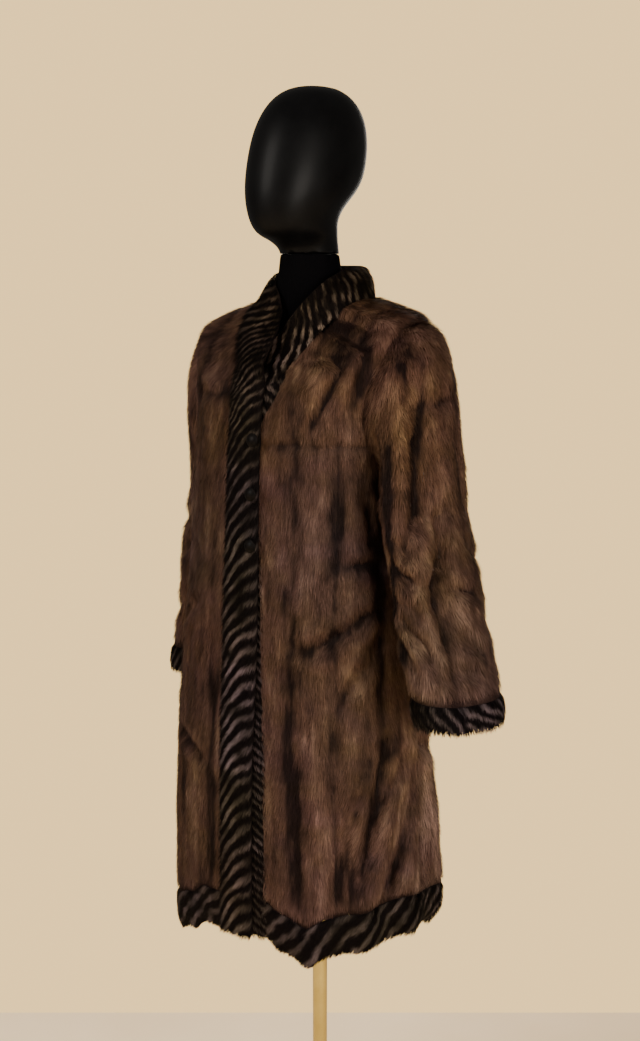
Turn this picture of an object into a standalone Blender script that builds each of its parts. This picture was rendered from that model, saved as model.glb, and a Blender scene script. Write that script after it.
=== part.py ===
"""A three-quarter length fur coat with striped trim, hanging on a limbless dress form.

Metres, +Z up. The coat faces -Y and the wearer's left is +X. The origin is the middle
of the stand's underside. Every wall's outer face is where the tips of the fur lie.

An angle round the coat is 0 at the centre front, 90 at the wearer's left side and 180 at
the centre back. A level is the height that a ring round the coat has at its side; above
the armpits the same ring dips at the front, down to the neckline.
"""

import math

import bmesh
import bpy
import numpy as np

# ---------------------------------------------------------------- driving sizes
SEAM_GAP = 0.0004
FUR_WALL = 0.008
TRIM_WALL = 0.007

HEM_BAND = 0.057
HEM_TURNS_IN = (0.018, 0.006, 0.001)
CUFF_TURNS_IN = (0.0, 0.002, 0.009)
ARMPIT_LEVEL = 1.185
SHOULDER_TIP_LEVEL = 1.408
NECK_SEAM_LEVEL = 1.443
ARMHOLE_FRONT_DEG = 33.0
ARMHOLE_BACK_DEG = 30.0
LEAST_INTO_ARMHOLE = 0.45

BUTTON_RADIUS = 0.010
BUTTON_HEIGHT = 0.006
BUTTON_X = 0.017
BUTTON_LEVELS = (1.095, 1.168, 1.281)

POLE_RADIUS = 0.0112
BASE_RADIUS = 0.165
BASE_HEIGHT = 0.014
SOCKET_RADIUS = 0.024
SOCKET_HEIGHT = 0.045

HEAD_TURN_DEG = 9.0
NECK_AXIS_Y = -0.0237

# How finely the walls are divided.
HEM_ROWS = 3
SKIRT_ROWS = 12
ARMHOLE_ROWS = 10
SHOULDER_ROWS = 4
FRONT_COLUMNS = 14
BACK_COLUMNS = 28
STRIP_COLUMNS = 4
CAP_ROWS = 5
ARM_ROWS = 7
CUFF_ROWS = 3
ROUND_SIDES = 32

# Rows where pelts are joined end to end: across the back and round the elbow.
YOKE_ROW = 18
ELBOW_ROW = CAP_ROWS + 2

# Rings round the coat. square is 2 for an oval front and more for a squarer one.
# dip lowers the ring at the centre front, and rise lifts it at the centre back.
RING_COLUMNS = (
    "level", "x_mid", "half_width", "y_mid", "front", "back", "square", "dip", "rise",
)
RINGS = (
    (0.440, -0.004, 0.226, -0.030, 0.157, 0.151, 2.1, 0.000, 0.000),
    (0.610, -0.007, 0.222, -0.032, 0.155, 0.148, 2.1, 0.000, 0.000),
    (0.770, -0.010, 0.211, -0.034, 0.151, 0.141, 2.1, 0.000, 0.000),
    (0.910, -0.008, 0.200, -0.033, 0.148, 0.139, 2.1, 0.000, 0.000),
    (1.060, -0.003, 0.188, -0.030, 0.147, 0.138, 2.1, 0.000, 0.000),
    (1.185, 0.000, 0.184, -0.024, 0.150, 0.140, 2.1, 0.000, 0.000),
    (1.235, 0.000, 0.183, -0.020, 0.152, 0.140, 2.1, 0.018, 0.005),
    (1.295, 0.000, 0.183, -0.015, 0.154, 0.136, 2.1, 0.045, 0.010),
    (1.355, 0.000, 0.184, -0.010, 0.155, 0.128, 2.2, 0.078, 0.015),
    (1.405, 0.000, 0.185, -0.008, 0.153, 0.113, 2.2, 0.106, 0.016),
    (1.417, 0.000, 0.172, -0.007, 0.152, 0.103, 2.2, 0.113, 0.014),
    (1.427, 0.000, 0.144, -0.006, 0.151, 0.092, 2.1, 0.118, 0.012),
    (1.436, 0.000, 0.113, -0.005, 0.151, 0.081, 2.0, 0.122, 0.010),
    (1.443, 0.000, 0.089, -0.005, 0.150, 0.070, 2.0, 0.124, 0.008),
)

# The height of the hem round the coat.
HEM_COLUMNS = ("angle", "height")
HEM = (
    (-180, 0.492), (-135, 0.480), (-90, 0.468), (-60, 0.470), (-45, 0.476), (-30, 0.492),
    (-18, 0.517), (0, 0.520), (9, 0.519), (18, 0.505), (27, 0.492), (38, 0.510),
    (50, 0.517), (62, 0.527), (78, 0.536), (100, 0.530), (140, 0.510), (180, 0.492),
)

# Soft flutes of the skirt: ridges stand out and valleys go in, deepest at the hem.
FLUTE_COLUMNS = ("angle", "width", "depth", "top")
FLUTES = (
    (-168, 9, 0.006, 0.95), (-145, 8, -0.006, 0.90), (-124, 9, 0.007, 0.98),
    (-101, 8, -0.005, 0.88), (-80, 8, 0.006, 0.95), (-60, 7, -0.006, 0.84),
    (-42, 7, 0.005, 0.92), (21, 5, -0.005, 0.90), (32, 6, 0.006, 0.84),
    (46, 6, -0.005, 0.98), (58, 6, 0.006, 0.88), (69, 6, -0.009, 0.96),
    (82, 7, 0.007, 0.86), (97, 8, -0.006, 0.94), (113, 8, 0.009, 0.99),
    (132, 9, -0.007, 0.92), (152, 9, 0.007, 0.98), (172, 8, -0.007, 0.90),
)

# Where the front bands lie: x of each band's seam with the fur front and of its free edge.
EDGE_COLUMNS = ("level", "right_seam", "right_free", "left_free", "left_seam")
EDGES = (
    (0.440, -0.040, 0.016, -0.030, 0.036),
    (0.720, -0.040, 0.015, -0.030, 0.035),
    (1.000, -0.037, 0.022, -0.036, 0.029),
    (1.185, -0.033, 0.022, -0.042, 0.018),
    (1.295, -0.032, 0.021, -0.044, 0.016),
    (1.355, -0.032, 0.020, -0.044, 0.020),
    (1.408, -0.035, 0.019, -0.042, 0.034),
    (1.443, -0.042, 0.017, -0.040, 0.046),
)

# The lap: the right front rides on top and the left front tucks under it.
RIGHT_LIFT = 0.003
LEFT_TUCK = 0.0085
RIGHT_LIFT_FROM, RIGHT_LIFT_TO = -0.130, -0.060
LEFT_TUCK_FROM, LEFT_TUCK_TO = 0.090, 0.030

# The collar's free edge, from the front corner (0) over the shoulder (1) to the back (2).
COLLAR_COLUMNS = ("station", "x", "y", "z", "bulge")
COLLAR_RIGHT = (
    (0.15, 0.016, -0.154, 1.350, 0.001), (0.30, 0.015, -0.137, 1.374, 0.002),
    (0.45, 0.011, -0.112, 1.402, 0.003), (0.60, -0.003, -0.089, 1.429, 0.004),
    (0.80, -0.026, -0.075, 1.456, 0.006), (1.00, -0.064, -0.024, 1.481, 0.006),
    (1.33, -0.063, 0.023, 1.489, 0.006), (1.66, -0.037, 0.046, 1.491, 0.006),
    (2.00, 0.000, 0.054, 1.492, 0.006),
)
COLLAR_LEFT = (
    (0.15, -0.022, -0.127, 1.341, 0.000), (0.30, -0.010, -0.112, 1.368, 0.001),
    (0.45, 0.004, -0.097, 1.398, 0.002), (0.60, 0.033, -0.090, 1.431, 0.004),
    (0.80, 0.056, -0.071, 1.461, 0.006), (1.00, 0.067, -0.026, 1.484, 0.006),
    (1.33, 0.063, 0.023, 1.489, 0.006), (1.66, 0.037, 0.046, 1.491, 0.006),
    (2.00, 0.000, 0.054, 1.492, 0.006),
)

# Sleeve rings below the armpit, x given as its distance from the middle of the coat.
SLEEVE_COLUMNS = ("z", "x", "y", "half_out", "half_along", "turn")
SLEEVE_LEFT = (
    (1.155, 0.232, -0.065, 0.038, 0.081, -12),
    (1.110, 0.246, -0.069, 0.041, 0.081, -12),
    (1.030, 0.268, -0.076, 0.044, 0.080, -11),
    (0.960, 0.290, -0.085, 0.048, 0.077, -10),
    (0.909, 0.305, -0.091, 0.055, 0.075, -9),
    (0.862, 0.314, -0.097, 0.058, 0.073, -8),
)
SLEEVE_RIGHT = (
    (1.150, 0.2255, 0.051, 0.031, 0.081, 9),
    (1.065, 0.237, 0.050, 0.036, 0.083, 11),
    (0.975, 0.249, 0.053, 0.042, 0.080, 12),
    (0.920, 0.259, 0.054, 0.048, 0.077, 10),
    (0.878, 0.269, 0.054, 0.055, 0.075, 9),
    (0.824, 0.276, 0.055, 0.059, 0.075, 8),
)
CUFF_TOP = {"left": 0.909, "right": 0.878}

# Folds of a sleeve. angle is 0 at the armpit side, 90 in front and 180 outside.
SLEEVE_FOLD_COLUMNS = ("angle", "z", "width", "reach", "depth")
SLEEVE_FOLDS_LEFT = (
    (165, 1.050, 15, 0.110, -0.008), (135, 1.030, 16, 0.120, 0.004),
    (200, 1.070, 16, 0.130, 0.004), (60, 0.980, 20, 0.050, 0.006),
    (100, 1.120, 18, 0.090, -0.005), (240, 1.080, 18, 0.120, -0.006),
    (290, 1.000, 20, 0.100, 0.004),
)
SLEEVE_FOLDS_RIGHT = (
    (170, 1.060, 16, 0.110, -0.006), (140, 1.020, 16, 0.120, 0.004),
    (205, 1.060, 16, 0.120, 0.004), (235, 1.080, 18, 0.100, -0.006),
    (95, 1.060, 18, 0.100, -0.005), (290, 1.000, 20, 0.100, 0.004),
)

# The form's torso and neck.
TORSO_COLUMNS = ("z", "half_width", "y_mid", "front", "back")
TORSO = (
    (0.860, 0.146, -0.032, 0.096, 0.094), (0.872, 0.156, -0.032, 0.104, 0.101),
    (0.930, 0.158, -0.031, 0.107, 0.103), (1.030, 0.146, -0.029, 0.105, 0.098),
    (1.100, 0.146, -0.027, 0.110, 0.098), (1.180, 0.154, -0.023, 0.118, 0.102),
    (1.255, 0.156, -0.016, 0.117, 0.103), (1.325, 0.156, -0.012, 0.104, 0.097),
    (1.370, 0.150, -0.011, 0.086, 0.087), (1.396, 0.137, -0.012, 0.072, 0.077),
    (1.413, 0.113, -0.015, 0.061, 0.065), (1.426, 0.082, -0.019, 0.053, 0.057),
    (1.441, 0.058, -0.022, 0.048, 0.051), (1.461, 0.048, -0.0237, 0.046, 0.047),
    (1.503, 0.0435, -0.0237, 0.0435, 0.0435),
)

# The head, forward and back measured from the neck's axis along the way it faces.
HEAD_COLUMNS = ("z_front", "z_back", "forward", "back", "half_width")
HEAD = (
    (1.5033, 1.5033, 0.044, 0.043, 0.043), (1.512, 1.511, 0.047, 0.042, 0.043),
    (1.522, 1.526, 0.066, 0.041, 0.045), (1.527, 1.537, 0.084, 0.040, 0.050),
    (1.538, 1.550, 0.097, 0.039, 0.053), (1.555, 1.568, 0.104, 0.047, 0.059),
    (1.578, 1.586, 0.107, 0.066, 0.067), (1.604, 1.606, 0.106, 0.083, 0.072),
    (1.634, 1.632, 0.101, 0.091, 0.073), (1.664, 1.661, 0.093, 0.094, 0.072),
    (1.689, 1.689, 0.082, 0.091, 0.068), (1.711, 1.713, 0.067, 0.080, 0.059),
    (1.727, 1.730, 0.049, 0.061, 0.045), (1.736, 1.739, 0.029, 0.038, 0.027),
)
CROWN_Z = 1.7405


# ---------------------------------------------------------------- tables and meshes
def slopes_of(table):
    """A slope at each row that lets no curve swing past the rows it joins."""
    steps = np.diff(table, axis=0) / np.diff(table[:, 0])[:, None]
    slopes = np.zeros_like(table)
    same_way = steps[1:] * steps[:-1] > 0
    both = np.where(same_way, steps[1:] + steps[:-1], 1.0)
    slopes[1:-1] = np.where(same_way, 2 * steps[1:] * steps[:-1] / both, 0.0)
    slopes[0], slopes[-1] = steps[0], steps[-1]
    return slopes


def smooth_table(rows, at):
    """A row worked out between the given ones, by cubic curves through them."""
    table = np.array(rows, float)
    keys = table[:, 0]
    slopes = slopes_of(table)
    at = np.clip(at, keys[0], keys[-1])
    i = int(np.clip(np.searchsorted(keys, at) - 1, 0, len(keys) - 2))
    step = keys[i + 1] - keys[i]
    t = (at - keys[i]) / step
    a = 2 * t**3 - 3 * t**2 + 1
    b = t**3 - 2 * t**2 + t
    c = 3 * t**2 - 2 * t**3
    d = t**3 - t**2
    return a * table[i] + b * step * slopes[i] + c * table[i + 1] + d * step * slopes[i + 1]


def named(columns, row):
    return dict(zip(columns, row))


def ease(start, end, at):
    """0 at start, 1 at end, with a soft beginning and finish."""
    t = np.clip((at - start) / (end - start), 0.0, 1.0)
    return t * t * (3 - 2 * t)


def unit(vector):
    return vector / np.linalg.norm(vector)


def make_material(name, colour, roughness, metallic=0.0):
    material = bpy.data.materials.new(name)
    material.use_nodes = True
    shader = material.node_tree.nodes["Principled BSDF"]
    shader.inputs["Base Color"].default_value = (*colour, 1.0)
    shader.inputs["Roughness"].default_value = roughness
    shader.inputs["Metallic"].default_value = metallic
    return material


def add_object(name, points, faces, material, sharp_deg=50):
    """One closed body with its faces pointing out, shaded smooth but for its edges."""
    mesh = bpy.data.meshes.new(name)
    mesh.from_pydata([tuple(p) for p in points], [], faces)
    shape = bmesh.new()
    shape.from_mesh(mesh)
    bmesh.ops.recalc_face_normals(shape, faces=shape.faces)
    shape.to_mesh(mesh)
    shape.free()
    mesh.shade_smooth()
    mesh.set_sharp_from_angle(angle=math.radians(sharp_deg))
    mesh.materials.append(material)
    part = bpy.data.objects.new(name, mesh)
    bpy.context.scene.collection.objects.link(part)
    return part


def rim_faces(points, a, b, inside):
    """The wall's thickness along one edge, cut the same way on both sides of a seam."""
    rising = np.linalg.norm(points[a] - points[inside + b])
    falling = np.linalg.norm(points[b] - points[inside + a])
    if rising < falling:
        return [(a, b, inside + b), (a, inside + b, inside + a)]
    return [(a, b, inside + a), (b, inside + b, inside + a)]


def add_wall(name, outer, inner, material, ring=False):
    """A wall between two grids of points; a ring's last column joins its first."""
    rows, columns = outer.shape[:2]
    points = np.concatenate([outer.reshape(-1, 3), inner.reshape(-1, 3)])
    inside = rows * columns
    faces = []
    for r in range(rows - 1):
        for c in range(columns if ring else columns - 1):
            n = (c + 1) % columns
            quad = (r * columns + c, r * columns + n, (r + 1) * columns + n, (r + 1) * columns + c)
            faces.append(quad)
            faces.append(tuple(inside + i for i in reversed(quad)))
    rims = []
    for r in (0, (rows - 1) * columns):
        rims += [(r + c, r + (c + 1) % columns) for c in range(columns if ring else columns - 1)]
    if not ring:
        for c in (0, columns - 1):
            rims += [(r * columns + c, (r + 1) * columns + c) for r in range(rows - 1)]
    for a, b in rims:
        faces += rim_faces(points, a, b, inside)
    return add_object(name, points, faces, material)


def add_lofted(name, rings, material, top=None, sharp_deg=50):
    """A solid through rings of points, closed flat below and flat or in a point above."""
    rows, columns = rings.shape[:2]
    points = list(rings.reshape(-1, 3))
    faces = [tuple(range(columns))]
    for r in range(rows - 1):
        for c in range(columns):
            n = (c + 1) % columns
            faces.append((r * columns + c, r * columns + n, (r + 1) * columns + n, (r + 1) * columns + c))
    last = (rows - 1) * columns
    if top is None:
        faces.append(tuple(last + c for c in range(columns)))
    else:
        points.append(top)
        for c in range(columns):
            faces.append((last + c, last + (c + 1) % columns, len(points) - 1))
    return add_object(name, points, faces, material, sharp_deg)


# ---------------------------------------------------------------- the coat's surface
def ring_at(level):
    return named(RING_COLUMNS, smooth_table(RINGS, level))


def edges_at(level):
    return named(EDGE_COLUMNS, smooth_table(EDGES, level))


def hem_height(angle):
    """The hem's height at an angle in degrees, in soft waves between the named points."""
    at = (angle + 180.0) % 360.0 - 180.0
    for (a, low), (b, high) in zip(HEM, HEM[1:]):
        if a <= at <= b:
            return low + (high - low) * ease(a, b, at)
    return HEM[0][1]


def flute(angle, z):
    """How far the skirt stands out of its plain oval."""
    out = 0.0
    for middle, width, depth, top in FLUTES:
        away = (angle - middle + 180.0) % 360.0 - 180.0
        if z < top:
            out += depth * math.exp(-((away / width) ** 2)) * ((top - z) / (top - 0.5)) ** 1.3
    return out


def coat_point(angle, level):
    """The outer surface before the fronts lap over each other."""
    ring = ring_at(level)
    s, c = math.sin(math.radians(angle)), math.cos(math.radians(angle))
    power = 2 / (ring["square"] if c > 0 else 2.1)
    across = math.copysign(abs(s) ** power, s)
    along = abs(c) ** power
    z = level - ring["dip"] * c * c if c > 0 else level + ring["rise"] * c * c
    depth = -ring["front"] if c > 0 else ring["back"]
    out = flute(angle, z)
    return np.array((
        ring["x_mid"] + ring["half_width"] * across + out * s,
        ring["y_mid"] + depth * along - out * c,
        z,
    ))


def coat_normal(angle, level):
    """Straight out of the surface."""
    round_it = coat_point(angle + 1.0, level) - coat_point(angle - 1.0, level)
    high = min(level + 0.008, NECK_SEAM_LEVEL)
    up = coat_point(angle, high) - coat_point(angle, high - 0.016)
    return unit(np.cross(round_it, up))


def angle_of(x, level):
    """The angle at which the front of a ring has this x."""
    ring = ring_at(level)
    share = (x - ring["x_mid"]) / ring["half_width"]
    return math.degrees(math.asin(math.copysign(abs(share) ** (ring["square"] / 2), share)))


def lap(x, side):
    """How far a front is moved out of the plain surface where the two fronts cross."""
    if side == "right":
        return RIGHT_LIFT * ease(RIGHT_LIFT_FROM, RIGHT_LIFT_TO, x)
    if side == "left":
        return -LEFT_TUCK * ease(LEFT_TUCK_FROM, LEFT_TUCK_TO, x)
    return 0.0


def body_rows():
    """Each row up the coat: a share of the way from hem seam to armpit, or a level."""
    rows = [("hem", r / HEM_ROWS) for r in range(HEM_ROWS)]
    rows += [("skirt", r / SKIRT_ROWS) for r in range(SKIRT_ROWS)]
    middle = (ARMPIT_LEVEL + SHOULDER_TIP_LEVEL) / 2
    half = (SHOULDER_TIP_LEVEL - ARMPIT_LEVEL) / 2
    for r in range(ARMHOLE_ROWS):
        rows.append(("armhole", middle - half * math.cos(math.pi * r / ARMHOLE_ROWS)))
    step = (NECK_SEAM_LEVEL - SHOULDER_TIP_LEVEL) / SHOULDER_ROWS
    rows += [("shoulder", SHOULDER_TIP_LEVEL + step * r) for r in range(SHOULDER_ROWS + 1)]
    return rows


ROWS = body_rows()
ARMPIT_ROW = HEM_ROWS + SKIRT_ROWS
TIP_ROW = ARMPIT_ROW + ARMHOLE_ROWS


def plain_level(row):
    """A row's level, not counting the waves of the hem."""
    kind, value = ROWS[row]
    low = 0.52
    if kind == "hem":
        return low + HEM_BAND * value
    if kind == "skirt":
        return low + HEM_BAND + (ARMPIT_LEVEL - low - HEM_BAND) * value
    return value


def level_of(row, angle):
    kind, value = ROWS[row]
    if kind == "hem":
        return hem_height(angle) + HEM_BAND * value
    if kind == "skirt":
        seam = hem_height(angle) + HEM_BAND
        return seam + (ARMPIT_LEVEL - seam) * value
    return value


def armhole_cut(row, most):
    """How many degrees the armhole takes from a panel in this row."""
    if not ARMPIT_ROW <= row <= TIP_ROW:
        return 0.0
    middle = (ARMPIT_LEVEL + SHOULDER_TIP_LEVEL) / 2
    share = (ROWS[row][1] - middle) / (SHOULDER_TIP_LEVEL - middle)
    return most * math.sqrt(max(0.0, 1 - share * share))


def panel_grid(side):
    """Points and normals of a body panel from the hem up to the neck seam."""
    columns = BACK_COLUMNS if side == "back" else FRONT_COLUMNS
    points = np.zeros((len(ROWS), columns + 1, 3))
    normals = np.zeros_like(points)
    for r in range(len(ROWS)):
        level = plain_level(r)
        edges = edges_at(level)
        if side == "left":
            start = angle_of(edges["left_seam"], level)
            end = 90.0 - armhole_cut(r, ARMHOLE_FRONT_DEG)
        elif side == "right":
            start = -90.0 + armhole_cut(r, ARMHOLE_FRONT_DEG)
            end = angle_of(edges["right_seam"], level)
        else:
            start = 90.0 + armhole_cut(r, ARMHOLE_BACK_DEG)
            end = 270.0 - armhole_cut(r, ARMHOLE_BACK_DEG)
        for c in range(columns + 1):
            angle = start + (end - start) * c / columns
            at = level_of(r, angle)
            normal = coat_normal(angle, at)
            point = coat_point(angle, at)
            points[r, c] = point + lap(point[0], side) * normal
            normals[r, c] = normal
    return points, normals


def draw_in(grid, edge, by=SEAM_GAP / 2):
    """Moves one edge of a grid towards its neighbours, which opens a seam's gap."""
    moved = grid.copy()
    edge_at, next_at = {
        "bottom": ((0,), (1,)),
        "top": ((-1,), (-2,)),
        "first": ((slice(None), 0), (slice(None), 1)),
        "last": ((slice(None), -1), (slice(None), -2)),
    }[edge]
    step = grid[next_at] - grid[edge_at]
    line = np.gradient(grid[edge_at].reshape(-1, 3), axis=0).reshape(step.shape)
    line = line / np.linalg.norm(line, axis=-1, keepdims=True)
    step = step - line * (step * line).sum(axis=-1, keepdims=True)
    moved[edge_at] = grid[edge_at] + by * step / np.linalg.norm(step, axis=-1, keepdims=True)
    return moved


def cut_piece(grid, first_row, last_row, edges):
    """Part of a grid between two rows, drawn in at the edges where it meets a neighbour."""
    part = grid[first_row : last_row + 1]
    for edge in edges:
        part = draw_in(part, edge)
    return part


def make_panel(side, pieces, material, trim):
    """A body panel with its hem band; pieces are (name, first row, last row) up the panel."""
    points, normals = panel_grid(side)
    seams = ["first", "last"]
    for name, low, high in pieces:
        part = cut_piece(points, low, high, [*seams, "bottom", "top"])
        add_wall(name, part, part - FUR_WALL * normals[low : high + 1], material)
    band = cut_piece(points, 0, HEM_ROWS, [*seams, "top"])
    band_normals = normals[: HEM_ROWS + 1]
    band = band + hem_roll(band_normals)
    add_wall("hem_" + side, band, band - TRIM_WALL * band_normals, trim)
    return points, normals


def hem_roll(normals):
    """The hem's fur turns in towards its lower edge."""
    roll = np.zeros_like(normals)
    for row, inward in enumerate(HEM_TURNS_IN):
        roll[row] = -inward * normals[row]
    return roll


# ---------------------------------------------------------------- bands and collar
def strip_grid(side, panel, panel_normals):
    """Points of a front band, then of the half collar that goes on from it to the back.

    The first column is the seam with the fur panel and the last is the free edge.
    """
    sections = []
    for r in range(len(ROWS)):
        level = plain_level(r)
        edges = edges_at(level)
        seam, free = edges[side + "_seam"], edges[side + "_free"]
        section = []
        for c in range(STRIP_COLUMNS + 1):
            share = c / STRIP_COLUMNS
            angle = angle_of(seam + (free - seam) * share, level)
            at = level_of(r, angle)
            normal = coat_normal(angle, at)
            point = coat_point(angle, at)
            crown = 0.0015 * math.sin(math.pi * share)
            section.append(point + (lap(point[0], side) + crown) * normal)
        section[0] = panel[r, -1 if side == "right" else 0]
        sections.append(section)
    band_rows = len(sections)
    seam_line = panel[-1][::-1] if side == "right" else panel[-1]
    back = [coat_point(90 + 90 * i / FRONT_COLUMNS, NECK_SEAM_LEVEL) for i in range(1, FRONT_COLUMNS + 1)]
    if side == "right":
        back = [p * (-1, 1, 1) for p in back]
    seam_line = [*seam_line[1:], *back]
    corner = sections[-1][-1]
    table = COLLAR_RIGHT if side == "right" else COLLAR_LEFT
    table = ((0.0, *corner, 0.0), *table)
    for i, seam in enumerate(seam_line, start=1):
        free = named(COLLAR_COLUMNS, smooth_table(table, i / FRONT_COLUMNS))
        edge = np.array((free["x"], free["y"], free["z"]))
        middle = (seam + edge) / 2
        away = unit(middle - np.array((0.0, NECK_AXIS_Y, middle[2] - 0.03)))
        section = []
        for c in range(STRIP_COLUMNS + 1):
            share = c / STRIP_COLUMNS
            out = free["bulge"] * 4 * share * (1 - share)
            section.append(seam + (edge - seam) * share + out * away)
        sections.append(section)
    grid = np.array(sections)
    normals = grid_normals(grid, np.array((0.0, NECK_AXIS_Y, 1.0)))
    normals[:band_rows, 0] = panel_normals[:, -1 if side == "right" else 0]
    seam_normals = panel_normals[-1][::-1] if side == "right" else panel_normals[-1]
    normals[band_rows : band_rows + FRONT_COLUMNS, 0] = seam_normals[1:]
    for i in range(1, FRONT_COLUMNS + 1):
        out = coat_normal(90 + 90 * i / FRONT_COLUMNS, NECK_SEAM_LEVEL)
        normals[band_rows + FRONT_COLUMNS - 1 + i, 0] = out * (-1 if side == "right" else 1, 1, 1)
    normals[-1] = [unit(n * (0, 1, 1)) for n in normals[-1]]
    return grid, normals, band_rows


def grid_normals(grid, outward_of=None, ring=False):
    """Normals of a grid from its neighbours, on the side away from a point or axis."""
    if ring:
        across = np.roll(grid, -1, axis=1) - np.roll(grid, 1, axis=1)
    else:
        across = np.gradient(grid, axis=1)
    along = np.gradient(grid, axis=0)
    normals = np.cross(across, along)
    normals /= np.linalg.norm(normals, axis=-1, keepdims=True)
    if outward_of is not None:
        away = grid - outward_of
        if (normals * away).sum() < 0:
            normals = -normals
    return normals


def make_strip(side, panel, panel_normals, trim):
    grid, normals, band_rows = strip_grid(side, panel, panel_normals)
    band = cut_piece(grid, 0, band_rows - 1, ["first", "top", "top"])
    add_wall("band_" + side, band, band - TRIM_WALL * normals[:band_rows], trim)
    collar = cut_piece(grid, band_rows - 1, len(grid) - 1, ["first", "bottom", "bottom", "top"])
    add_wall("collar_" + side, collar, collar - TRIM_WALL * normals[band_rows - 1 :], trim)


# ---------------------------------------------------------------- sleeves
def sleeve_fold(folds, angle, z):
    out = 0.0
    for middle, height, width, reach, depth in folds:
        away = (angle - middle + 180.0) % 360.0 - 180.0
        out += depth * math.exp(-((away / width) ** 2) - ((z - height) / reach) ** 2)
    return out


def sleeve_ring_point(table, folds, z, angle, out=0.0):
    """A point of the sleeve below the armpit, on the wearer's left."""
    ring = named(SLEEVE_COLUMNS, smooth_table(table[::-1], z))
    a = math.radians(angle)
    turn = math.radians(ring["turn"])
    outward = np.array((math.cos(turn), math.sin(turn), 0.0))
    forward = np.array((math.sin(turn), -math.cos(turn), 0.0))
    more = out + sleeve_fold(folds, angle, z)
    half_out, half_along = ring["half_out"] + more, ring["half_along"] + more
    middle = np.array((ring["x"], ring["y"], z))
    return middle - outward * half_out * math.cos(a) + forward * half_along * math.sin(a)


def armhole_line():
    """The armhole from the armpit up the front to the shoulder and down the back."""
    line = []
    for i in range(2 * ARMHOLE_ROWS):
        row = ARMPIT_ROW + (i if i <= ARMHOLE_ROWS else 2 * ARMHOLE_ROWS - i)
        if i <= ARMHOLE_ROWS:
            angle = 90.0 - armhole_cut(row, ARMHOLE_FRONT_DEG)
        else:
            angle = 90.0 + armhole_cut(row, ARMHOLE_BACK_DEG)
        line.append((180.0 * i / ARMHOLE_ROWS, angle, ROWS[row][1]))
    return line


def into_armhole(turn, normal):
    """The way along the body's surface from the armhole's edge towards its middle."""
    way = np.array((0.0, math.sin(math.radians(turn)), math.cos(math.radians(turn))))
    return unit(way - normal * np.dot(way, normal))


def sleeve_cap(table, folds):
    """Rings from the armhole down to the sleeve's first plain ring."""
    columns = []
    for turn, angle, level in armhole_line():
        start = coat_point(angle, level)
        end = sleeve_ring_point(table, folds, table[0][0], turn)
        c, s = math.cos(math.radians(turn)), math.sin(math.radians(turn))
        pit, tip, face = max(0.0, c) ** 2, max(0.0, -c) ** 2, s * s
        front = 1.0 if s > 0 else -1.0
        leave = pit * np.array((0.90, 0.0, 0.90)) + tip * np.array((1.0, 0.0, -0.02))
        leave = unit(leave + face * np.array((1.0, -0.25 * front, 0.05)))
        into = into_armhole(turn, coat_normal(angle, level))
        leave = unit(leave + max(0.0, LEAST_INTO_ARMHOLE - np.dot(leave, into)) * into)
        first = start + leave * (0.019 * pit + 0.058 * tip + 0.030 * face)
        second = end + np.array((
            0.008 * pit - 0.008 * tip, 0.0, 0.026 * pit + 0.120 * tip + 0.070 * face,
        ))
        column = []
        for r in range(CAP_ROWS + 1):
            t = (r / CAP_ROWS) ** 1.3
            column.append(
                (1 - t) ** 3 * start + 3 * t * (1 - t) ** 2 * first
                + 3 * t * t * (1 - t) * second + t**3 * end
            )
        columns.append(column)
    return np.array(columns).transpose(1, 0, 2)


def make_sleeve(side, table, folds, material, trim):
    cap = sleeve_cap(table, folds)
    turns = [turn for turn, _, _ in armhole_line()]
    cuff_top, cuff_end = CUFF_TOP[side], table[-1][0]
    arm_step = (cuff_top - table[0][0]) / ARM_ROWS
    cuff_step = (cuff_end - cuff_top) / CUFF_ROWS
    rings = [(table[0][0] + arm_step * r, 0.0) for r in range(1, ARM_ROWS + 1)]
    rings += [(cuff_top + cuff_step * r, -turn_in) for r, turn_in in enumerate(CUFF_TURNS_IN, start=1)]
    arm = [[sleeve_ring_point(table, folds, z, t, out) for t in turns] for z, out in rings]
    grid = np.concatenate([cap, np.array(arm)])
    normals = grid_normals(grid, ring=True)
    if (normals[CAP_ROWS + 1] * (grid[CAP_ROWS + 1] - grid[CAP_ROWS + 1].mean(axis=0))).sum() < 0:
        normals = -normals
    for i, (turn, angle, level) in enumerate(armhole_line()):
        normals[0, i] = coat_normal(angle, level)
        grid[0, i] += into_armhole(turn, normals[0, i]) * SEAM_GAP / 2
    if side == "right":
        grid = grid * (-1, 1, 1)
        normals = normals * (-1, 1, 1)
    seam = CAP_ROWS + ARM_ROWS
    upper = cut_piece(grid, 0, ELBOW_ROW, ["top"])
    upper_normals = normals[: ELBOW_ROW + 1]
    add_wall("sleeve_" + side, upper, upper - FUR_WALL * upper_normals, material, ring=True)
    lower = cut_piece(grid, ELBOW_ROW, seam, ["bottom", "top"])
    lower_normals = normals[ELBOW_ROW : seam + 1]
    add_wall("sleeve_lower_" + side, lower, lower - FUR_WALL * lower_normals, material, ring=True)
    band = cut_piece(grid, seam, len(grid) - 1, ["bottom"])
    add_wall("cuff_" + side, band, band - TRIM_WALL * normals[seam:], trim, ring=True)


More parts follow.
